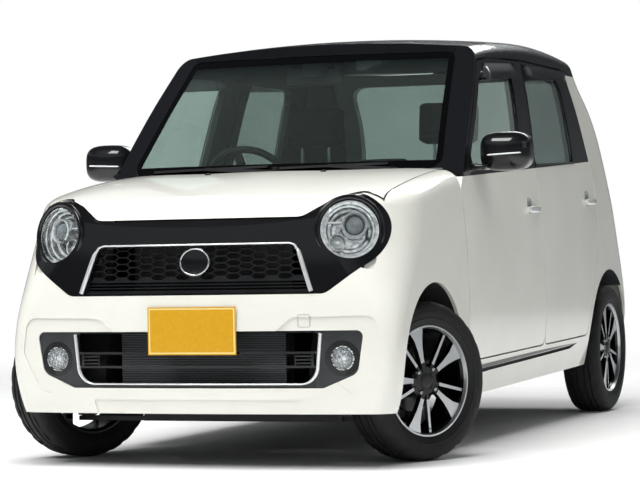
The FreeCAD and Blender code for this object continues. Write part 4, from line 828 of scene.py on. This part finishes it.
for side, way in SIDES:
    body = "front_door_" + side
    bm = bmesh.new()
    bmesh.ops.create_cube(bm, size=2)
    bmesh.ops.subdivide_edges(bm, edges=bm.edges[:], cuts=15, use_grid_fill=True)
    for corner in bm.verts:
        spot = mirror_dome(corner.co)
        corner.co = [way * (MIRROR_MIDDLE.x + spot.x * MIRROR_HALF.x), MIRROR_MIDDLE.y + spot.y * MIRROR_HALF.y,
                     MIRROR_MIDDLE.z + spot.z * MIRROR_HALF.z]
    block(bm, (0.066, 0.080, 0.022), (way * 0.729, -0.652, 1.0425), 0.009)
    piece("mirror_housing_" + side, bm, BLACK, body, ("door_mirror_" + side,), 50)
    bm = bmesh.new()
    block(bm, (0.160, 0.0035, 0.108), (way * MIRROR_MIDDLE.x, -0.5440, MIRROR_MIDDLE.z), 0.0015)
    piece("mirror_glass_" + side, bm, MIRROR, body)
    bm = bmesh.new()
    line = []
    for k in range(21):
        across, up = -0.62 + 1.34 * k / 20, -0.20 + 0.08 * k / 20
        plane = (abs(across) ** MIRROR_FACE_CURVE + abs(up) ** MIRROR_FACE_CURVE) ** (1 / MIRROR_FACE_CURVE)
        deep = -(1 - plane ** MIRROR_DEPTH_CURVE) ** (1 / MIRROR_DEPTH_CURVE)
        line.append(Vector((way * (MIRROR_MIDDLE.x + across * MIRROR_HALF.x), MIRROR_MIDDLE.y + deep * MIRROR_HALF.y,
                            MIRROR_MIDDLE.z + up * MIRROR_HALF.z)))
    tube(bm, line, 0.0030, widths=[0.5] + [1.0] * 19 + [0.5])
    piece("mirror_light_slit_" + side, bm, PALE, body)

# Wheels: tyres with grooved tread and sidewall rings, nuts, cap and valve.
TYRE_HALF = (
    (0.1952, 0.0680), (0.2035, 0.0735), (0.2110, 0.0778), (0.2165, 0.0795), (0.2185, 0.0822), (0.2215, 0.0824),
    (0.2240, 0.0806), (0.2360, 0.0818), (0.2480, 0.0812), (0.2505, 0.0800), (0.2580, 0.0792), (0.2600, 0.0775),
    (0.2660, 0.0748), (0.2715, 0.0700), (0.2752, 0.0640), (0.2780, 0.0560), (0.2795, 0.0470), (0.2798, 0.0440),
    (0.2735, 0.0425), (0.2735, 0.0370), (0.2803, 0.0355), (0.2808, 0.0220), (0.2745, 0.0205), (0.2745, 0.0125),
    (0.2809, 0.0110), (0.2810, 0.0000),
)
TYRE_STEPS = 96
for end in ("front", "rear"):
    for side, way in SIDES:
        base = wheel_frame(end, way)
        body = "%s_wheel_%s" % (end, side)
        bm = bmesh.new()
        profile = list(TYRE_HALF) + [(radius, -half) for radius, half in reversed(TYRE_HALF[:-1])]
        spun(bm, profile + [(0.197, 0.0)], base, TYRE_STEPS)
        inverse = base.inverted()
        for corner in bm.verts:
            local = inverse @ corner.co
            radius = math.hypot(local.x, local.y)
            turn = round(math.atan2(local.y, local.x) / math.tau * TYRE_STEPS)
            if 0.0445 < abs(local.z) < 0.0715 and radius > 0.265 and turn % 4 == 0:
                local = Vector((local.x * (radius - 0.004) / radius, local.y * (radius - 0.004) / radius, local.z))
                corner.co = base @ local
            elif 0.0225 < abs(local.z) < 0.0356 and radius > 0.279 and turn % 4 == 2:
                local = Vector((local.x * (radius - 0.005) / radius, local.y * (radius - 0.005) / radius, local.z))
                corner.co = base @ local
        piece("tyre_tread_%s_%s" % (end, side), bm, RUBBER, body, ("tyre_%s_%s" % (end, side),), 32)
        bm, caps = bmesh.new(), bmesh.new()
        for k in range(4):
            t = math.radians(45 + 90 * k + 7)
            spot = base @ Matrix.Translation((0.050 * math.cos(t), 0.050 * math.sin(t), 0.0555))
            spun(bm, ((0, 0.0095), (0.0055, 0.0095), (0.0078, 0.0075), (0.0082, 0.004), (0.0105, 0.0), (0.0105, -0.006)),
                 spot, 6)
        piece("wheel_nuts_%s_%s" % (end, side), bm, STEEL, body, angle=25)
        spun(caps, ((0, 0.0640), (0.012, 0.0637), (0.0245, 0.0620), (0.0275, 0.0596), (0.0275, 0.056)), base, 48)
        valve = base @ Matrix.Translation((0.168, 0.014, 0.034))
        spun(caps, ((0, 0.024), (0.0035, 0.0235), (0.004, 0.012), (0.0028, 0.011), (0.0032, -0.008)), valve, 16)
        piece("wheel_cap_%s_%s" % (end, side), caps, TRIM, body)

# Seats: foam that crowns between its seams, in woven cloth, on rails.

def swollen(thing, voxel, pressure, reach):
    """Remeshes a start shape, lets it swell as stuffed cloth and caps how far each point moves."""
    remesh = thing.modifiers.new("even_mesh", "REMESH")
    remesh.mode = "VOXEL"
    remesh.voxel_size = voxel
    graph = bpy.context.evaluated_depsgraph_get()
    even = bpy.data.meshes.new_from_object(thing.evaluated_get(graph))
    thing.modifiers.clear()
    thing.data = even
    before = [corner.co.copy() for corner in even.vertices]
    cloth = thing.modifiers.new("stuffing", "CLOTH")
    cloth.settings.use_pressure = True
    cloth.settings.uniform_pressure_force = pressure
    cloth.settings.effector_weights.gravity = 0
    cloth.settings.quality = 4
    cloth.point_cache.frame_start = 1
    cloth.point_cache.frame_end = 20
    for frame_number in range(1, 21):
        scene.frame_set(frame_number)
    graph = bpy.context.evaluated_depsgraph_get()
    full = bpy.data.meshes.new_from_object(thing.evaluated_get(graph))
    thing.modifiers.clear()
    for corner, start_place in zip(full.vertices, before):
        move = corner.co - start_place
        if move.length > reach:
            corner.co = start_place + move * (reach / move.length)
    thing.data = full
    scene.frame_set(1)


def pad_shape(sizes, waist, steps=(6, 6, 3)):
    """Start shape of a pad: a rounded slab, its sides drawn in between the corners."""
    bm = bmesh.new()
    made = bmesh.ops.create_cube(bm, size=1.0)
    bmesh.ops.subdivide_edges(bm, edges=bm.edges, cuts=5, use_grid_fill=True)
    for corner in bm.verts:
        x, y, z = corner.co * 2
        corner.co.x *= 1 - waist * (1 - y * y) * 0.5
        corner.co.y *= 1 - waist * (1 - x * x) * 0.5
        corner.co = Vector((corner.co.x * sizes[0], corner.co.y * sizes[1], corner.co.z * sizes[2]))
    outer_edges = [edge for edge in bm.edges if len(edge.link_faces) == 2 and edge.calc_face_angle(0) > 0.9]
    bmesh.ops.bevel(bm, geom=outer_edges, offset=min(sizes) * 0.30, offset_type="OFFSET", affect="EDGES",
                    segments=4, profile=0.5, material=-1)
    return bm


def channel(bm, frame_of, lines, depth, width):
    """Sewn channels: points near a line across the pad's face sink in."""
    inverse = frame_of.inverted()
    for corner in bm.verts:
        local = inverse @ corner.co
        if local.z < 0:
            continue
        sink = 0.0
        for axis, offset, low, high in lines:
            across = local.x if axis == "x" else local.y
            along = local.y if axis == "x" else local.x
            if low < along < high:
                sink = max(sink, math.exp(-((across - offset) / width) ** 2))
        local.z -= depth * sink
        corner.co = frame_of @ local


def pad(name, sizes, frame_of, waist, reach, seams, depth=0.008, width=0.006, voxel=0.007):
    """Finished pad's mesh in the car's frame: swollen, placed, its channels sewn in."""
    bm = pad_shape([s - reach * 1.1 for s in sizes], waist)
    mesh = bpy.data.meshes.new(name)
    bm.to_mesh(mesh)
    bm.free()
    thing = bpy.data.objects.new(name, mesh)
    scene.collection.objects.link(thing)
    swollen(thing, voxel, 4.0, reach)
    bm = bmesh.new()
    bm.from_mesh(thing.data)
    bpy.data.objects.remove(thing)
    bmesh.ops.transform(bm, matrix=frame_of, verts=bm.verts)
    channel(bm, frame_of, seams, depth, width)
    return bm


def soft(name, bm, finish, body="root", replaced=()):
    """Soft piece, smooth all over and one level finer."""
    thing = piece(name, bm, finish, body, replaced, angle=170)
    more = thing.modifiers.new("finer", "SUBSURF")
    more.levels = 1
    more.render_levels = 1
    return thing


def copied(bm, matrix):
    """Copy of a mesh turned or moved, in one mesh of its own."""
    other = bm.copy()
    bmesh.ops.transform(other, matrix=matrix, verts=other.verts)
    if matrix.determinant() < 0:
        bmesh.ops.reverse_faces(other, faces=other.faces)
    return other


SEAT_X = 0.295
CUSHION = facing((SEAT_X, 0.040, 0.4650), (0, 0.05, 1), (0, 1, 0))
BACK_LEAN = math.atan2(0.550, 0.650)
BACK = facing((SEAT_X, 0.285, 0.795), (0, -0.93, 0.22), (0, 0, 1))
HEAD = facing((SEAT_X, 0.335, 1.257), (0, -0.97, 0.12), (0, 0, 1))
BENCH = facing((0.262, 0.890, 0.490), (0, 0.04, 1), (0, 1, 0))
BENCH_BACK = facing((0.250, 1.150, 0.745), (0, -0.96, 0.17), (0, 0, 1))
BENCH_HEAD = facing((0.290, 1.192, 1.090), (0, -0.97, 0.12), (0, 0, 1))
PADS = (
    ("seat_cushion", (0.485, 0.515, 0.125), CUSHION, 0.05, 0.022,
     (("x", -0.150, -0.20, 0.22), ("x", 0.150, -0.20, 0.22), ("y", -0.06, -0.15, 0.15), ("y", 0.08, -0.15, 0.15))),
    ("seat_back", (0.480, 0.640, 0.115), BACK, 0.06, 0.022,
     (("x", -0.145, -0.26, 0.22), ("x", 0.145, -0.26, 0.22), ("y", -0.12, -0.145, 0.145), ("y", 0.05, -0.145, 0.145),
      ("y", 0.21, -0.145, 0.145))),
    ("seat_head", (0.258, 0.182, 0.100), HEAD, 0.05, 0.012, (("y", -0.055, -0.12, 0.12),)),
    ("bench_cushion", (0.520, 0.400, 0.130), BENCH, 0.03, 0.018,
     (("x", -0.13, -0.17, 0.14), ("x", 0.13, -0.17, 0.14), ("y", 0.02, -0.13, 0.13))),
    ("bench_back", (0.495, 0.520, 0.075), BENCH_BACK, 0.03, 0.014,
     (("x", -0.13, -0.20, 0.20), ("x", 0.13, -0.20, 0.20), ("y", 0.0, -0.13, 0.13))),
    ("bench_head", (0.245, 0.118, 0.080), BENCH_HEAD, 0.05, 0.010, ()),
)
MIRROR_X = Matrix.Diagonal((-1, 1, 1, 1))
for name, sizes_of, place_of, waist, reach, seams in PADS:
    left = pad(name, sizes_of, place_of, waist, reach, seams)
    right = copied(left, MIRROR_X)
    hidden = {"seat_cushion": ("front_seats",), "bench_cushion": ("rear_seat",)}.get(name, ())
    soft(name + "_left", left, FABRIC, replaced=hidden)
    soft(name + "_right", right, FABRIC)

# Seat frames under the cloth: plinth and rails, side cover with its lever, headrest posts, belt buckles.
bm, posts = bmesh.new(), bmesh.new()
for _, way in SIDES:
    x = way * SEAT_X
    for k in (-1, 1):
        block(bm, (0.034, 0.52, 0.030), (x + k * 0.150, 0.055, 0.2520), 0.004)
        block(bm, (0.030, 0.42, 0.135), (x + k * 0.185, 0.045, 0.3345), 0.010)
        block(bm, (0.020, 0.30, 0.070), (x + k * 0.2335, 0.150, 0.4350), 0.008)
        tube(posts, [(x + k * 0.060, 0.330, 1.080), (x + k * 0.060, 0.330, 1.215)], 0.0068)
    block(bm, (0.34, 0.38, 0.018), (x, 0.045, 0.3910), 0.006)
    block(bm, (0.012, 0.020, 0.070), facing((x - way * 0.2455, 0.21, 0.520), (0, -0.3, 1)), 0.004)
for x in (-0.340, -0.240, 0.240, 0.340):
    tube(posts, [(x, 1.192, 0.965), (x, 1.192, 1.050)], 0.0060)
piece("seat_frames", bm, TRIM)
piece("headrest_posts", posts, STEEL)

# Dashboard: hooded meters, centre screen, vents, gear lever housing, glove box line.
bm, faces_of, lit = bmesh.new(), bmesh.new(), bmesh.new()
hood = facing((-0.348, -0.660, 1.020), (0, 1, 0.10), (0, 0, 1))
block(bm, (0.330, 0.100, 0.130), hood @ Matrix.Translation((0, -0.015, -0.02)), 0.035, 5)
block(bm, (0.250, 0.175, 0.060), facing((0.0, -0.585, 0.905), (0, 1, 0.16), (0, 0, 1)), 0.016, 4)
block(bm, (0.215, 0.235, 0.075), facing((0.0, -0.575, 0.720), (0, 1, 0.25), (0, 0, 1)), 0.018, 4)
block(bm, (1.060, 0.040, 0.050), facing((0.0, -0.640, 0.985), (0, 1, 0.6), (0, 0, 1)), 0.018, 4)
block(bm, (0.400, 0.020, 0.130), facing((0.370, -0.578, 0.800), (0, 1, 0.05), (0, 0, 1)), 0.010, 3)
for x in (-0.585, -0.165, 0.165, 0.585):
    base = facing((x, -0.578, 0.925), (0, 1, 0.12), (0, 0, 1))
    spun(bm, ((0.036, -0.020), (0.040, 0.012), (0.043, 0.014), (0.046, 0.010), (0.047, -0.020)), base, 32)
    for k in (-1, 0, 1):
        block(faces_of, (0.066, 0.0035, 0.014), base @ Matrix.Translation((0, k * 0.016, 0.002)), 0.001)
tube(bm, [(0.035, -0.545, 0.690), (0.035, -0.520, 0.745)], 0.008)
spun(bm, ((0, 0.030), (0.012, 0.028), (0.020, 0.014), (0.020, -0.006), (0.010, -0.022), (0, -0.024)),
     facing((0.035, -0.515, 0.770), (0, 0.35, 1), (0, -1, 0)), 28)
piece("dashboard_forms", bm, CABIN)
screen_place = facing((0.0, -0.5475, 0.916), (0, 1, 0.16), (0, 0, 1))
block(faces_of, (0.190, 0.112, 0.006), screen_place, 0.002)
for k in (-1, 1):
    spun(faces_of, ((0, 0.012), (0.014, 0.012), (0.017, 0.009), (0.018, -0.004)),
         facing((k * 0.060, -0.533, 0.760), (0, 1, 0.25), (0, 0, 1)), 28)
piece("dashboard_screen_and_knobs", faces_of, SATIN)
for k in (-1, 1):
    base = hood @ Matrix.Translation((k * 0.072, -0.012, 0.0425))
    spun(lit, ((0.0, 0.0035), (0.040, 0.0035), (0.044, 0.007), (0.047, 0.007), (0.048, -0.002)), base, 40)
piece("meter_dials", lit, DARK_GREY)

# Steering wheel: soft grip over the rim, horn pad, stalks.
low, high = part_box("steering_wheel")
tilt = math.radians(25)
column = Vector((0, math.cos(tilt), math.sin(tilt)))
wheel_base = facing((-0.348, -0.273, 0.982), column)
turned = wheel_base @ Matrix.Rotation(math.radians(27 * 17), 4, "Z")
bm = bmesh.new()
ring = [wheel_base @ Vector((0.183 * math.cos(t), 0.183 * math.sin(t), 0)) for t in
        (math.tau * k / 72 for k in range(72))]
tube(bm, ring, 0.0152, closed=True, sides=4)
block(bm, (0.150, 0.110, 0.030), turned @ Matrix.Translation((0, -0.004, -0.004)), 0.014, 4)
piece("steering_wheel_grip", bm, CABIN, "steering_wheel")
bm = bmesh.new()
for k in (-1, 1):
    start_place = wheel_base @ Vector((k * 0.030, 0.010, -0.055))
    tube(bm, [start_place, wheel_base @ Vector((k * 0.150, 0.022, -0.060))], 0.0075, widths=[1.0, 0.8])
piece("column_stalks", bm, CABIN)

# Rear: tailgate garnish over the plate, handle, wiper, high stop lamp, reflectors, lamp rims.
bm, dark, red, bright = (bmesh.new() for _ in range(4))
garnish = tail_skin.rear(0.0, 0.925)
block(bright, (0.520, 0.034, 0.020), (0.0, garnish.y + 0.006, 0.925), 0.008, 4)
piece("tailgate_garnish", bright, PLATED, "tailgate")
handle = tail_skin.rear(0.0, 0.895)
block(dark, (0.220, 0.022, 0.016), (0.0, handle.y + 0.000, 0.897), 0.005)
for k in (-1, 1):
    block(dark, (0.040, 0.016, 0.010), (k * 0.105, handle.y + 0.006, 0.893), 0.003)
for side, way in SIDES:
    frame_line = [tail_skin.rear(way * x, z, 0.0006) for x, z in (
        (0.592, 0.700), (0.592, 0.800), (0.592, 0.900), (0.596, 0.935))]
    tube(dark, frame_line, 0.0022)
pivot = tail_skin.rear(0.0, 1.070, 0.004)
spun(dark, ((0, 0.016), (0.014, 0.015), (0.019, 0.008), (0.020, -0.008)), facing(pivot, (0, 1, 0.25)), 28)
glass_skin = Skin("tailgate_glass", "tailgate")
arm = [glass_skin.rear(x, z, out) for x, z, out in ((0.0, 1.072, 0.016), (-0.08, 1.090, 0.018), (-0.16, 1.115, 0.016))]
tube(dark, arm, 0.0055)
blade = [glass_skin.rear(x, 1.115 + (x + 0.16) * 0.04, 0.010) for x in (-0.34, -0.28, -0.22, -0.16, -0.10, -0.04, 0.02)]
tube(dark, blade, 0.0050)
piece("rear_wiper_and_handle", dark, TRIM, "tailgate")
stop = glass_skin.rear(0.0, 1.498, 0.003)
block(red, (0.240, 0.014, 0.018), (0.0, stop.y, 1.4985), 0.004)
piece("high_stop_lamp", red, FINISHES["lamp_red"], "tailgate")
bm = bmesh.new()
for side, way in SIDES:
    spot = tail_skin.rear(way * 0.560, 0.400, 0.001)
    block(bm, (0.120, 0.030, 0.008), facing(spot, (way * 0.18, 1, 0)), 0.003)
piece("rear_reflectors", bm, RED)


# Floor, backdrop and light

def stage_floor():
    """Pale matt floor that keeps the car's shadow and turns into the white backdrop further out."""
    f = Finish("pale_studio_floor")
    place = f.place()
    speck = f.add("TexNoise", None, place, Scale=4.0, Detail=3.0)
    f.surface(Base_Color=f.ramp(speck, linear("#E9E9E8"), linear("#EEEEED"), 0.3, 0.7), Roughness=0.85)
    reach = f.add("VectorMath", {"operation": "LENGTH"}, place, out="Value")
    far = f.add("MapRange", {"interpolation_type": "SMOOTHSTEP"}, reach, 2.6, 7.5)
    white = f.add("Emission", None, (1, 1, 1, 1), 1.0)
    far = f.add("Math", TIMES, far, f.add("LightPath", out="Is Camera Ray"))
    mixed = f.add("MixShader", None, far, f.shader.outputs["BSDF"], white)
    f.tree.links.new(mixed, f.tree.nodes["Material Output"].inputs["Surface"])
    bm = bmesh.new()
    bmesh.ops.create_grid(bm, x_segments=1, y_segments=1, size=60)
    mesh = bpy.data.meshes.new("studio_floor")
    bm.to_mesh(mesh)
    bm.free()
    mesh.materials.append(f.material)
    floor = bpy.data.objects.new("studio_floor", mesh)
    scene.collection.objects.link(floor)


def studio_world():
    """White behind the car, dimmer as light on it, and darker towards the ground in what its lacquer mirrors."""
    world = bpy.data.worlds.new("studio")
    scene.world = world
    world.use_nodes = True
    tree = world.node_tree
    light = tree.nodes["Background"]
    light.inputs["Color"].default_value = linear("#E8ECF0")
    light.inputs["Strength"].default_value = 0.30
    mirrored = tree.nodes.new("ShaderNodeBackground")
    height = tree.nodes.new("ShaderNodeSeparateXYZ")
    rise = tree.nodes.new("ShaderNodeValToRGB")
    stops = rise.color_ramp.elements
    stops[0].position, stops[0].color = 0.0, linear("#8C9193")
    stops[1].position, stops[1].color = 0.9, linear("#43494C")
    tones = ((0.18, "#3E4244"), (0.27, "#4C5052"), (0.31, "#C5CBCF"), (0.45, "#A8AEB2"), (0.55, "#53595C"))
    for position, tone in tones:
        stops.new(position).color = linear(tone)
    tree.links.new(tree.nodes.new("ShaderNodeTexCoord").outputs["Generated"], height.inputs[0])
    tree.links.new(height.outputs["Z"], rise.inputs["Fac"])
    tree.links.new(rise.outputs["Color"], mirrored.inputs["Color"])
    mirrored.inputs["Strength"].default_value = 0.55
    around = tree.nodes.new("ShaderNodeMixShader")
    white = tree.nodes.new("ShaderNodeBackground")
    white.inputs["Color"].default_value = (1, 1, 1, 1)
    path = tree.nodes.new("ShaderNodeLightPath")
    seen = tree.nodes.new("ShaderNodeMath")
    seen.operation = "MAXIMUM"
    mix = tree.nodes.new("ShaderNodeMixShader")
    tree.links.new(path.outputs["Is Camera Ray"], seen.inputs[0])
    tree.links.new(path.outputs["Is Transmission Ray"], seen.inputs[1])
    tree.links.new(seen.outputs[0], mix.inputs[0])
    tree.links.new(path.outputs["Is Glossy Ray"], around.inputs[0])
    tree.links.new(light.outputs[0], around.inputs[1])
    tree.links.new(mirrored.outputs[0], around.inputs[2])
    tree.links.new(around.outputs[0], mix.inputs[1])
    tree.links.new(white.outputs[0], mix.inputs[2])
    tree.links.new(mix.outputs[0], tree.nodes["World Output"].inputs["Surface"])


def soft_lamp(name, place, target, width, height, power, mirrored=True):
    data = bpy.data.lights.new(name, "AREA")
    data.shape = "RECTANGLE"
    data.size = width
    data.size_y = height
    data.energy = power
    lamp = bpy.data.objects.new(name, data)
    scene.collection.objects.link(lamp)
    lamp.visible_glossy, lamp.visible_transmission = mirrored, False
    lamp.location = place
    lamp.rotation_euler = (Vector(target) - Vector(place)).to_track_quat("-Z", "Y").to_euler()


stage_floor()
studio_world()
soft_lamp("key", (-2.2, -6.8, 7.5), (0, -0.4, 0.7), 4, 3, 430)
soft_lamp("top", (0.0, -2.0, 6.5), (0, -0.6, 0.8), 5, 4, 500, mirrored=False)
soft_lamp("fill", (7.5, -3.5, 3.0), (0, 0, 0.7), 5, 3, 25)
soft_lamp("rim", (0.0, 7.0, 5.5), (0, 0.5, 0.8), 6, 2.5, 260)
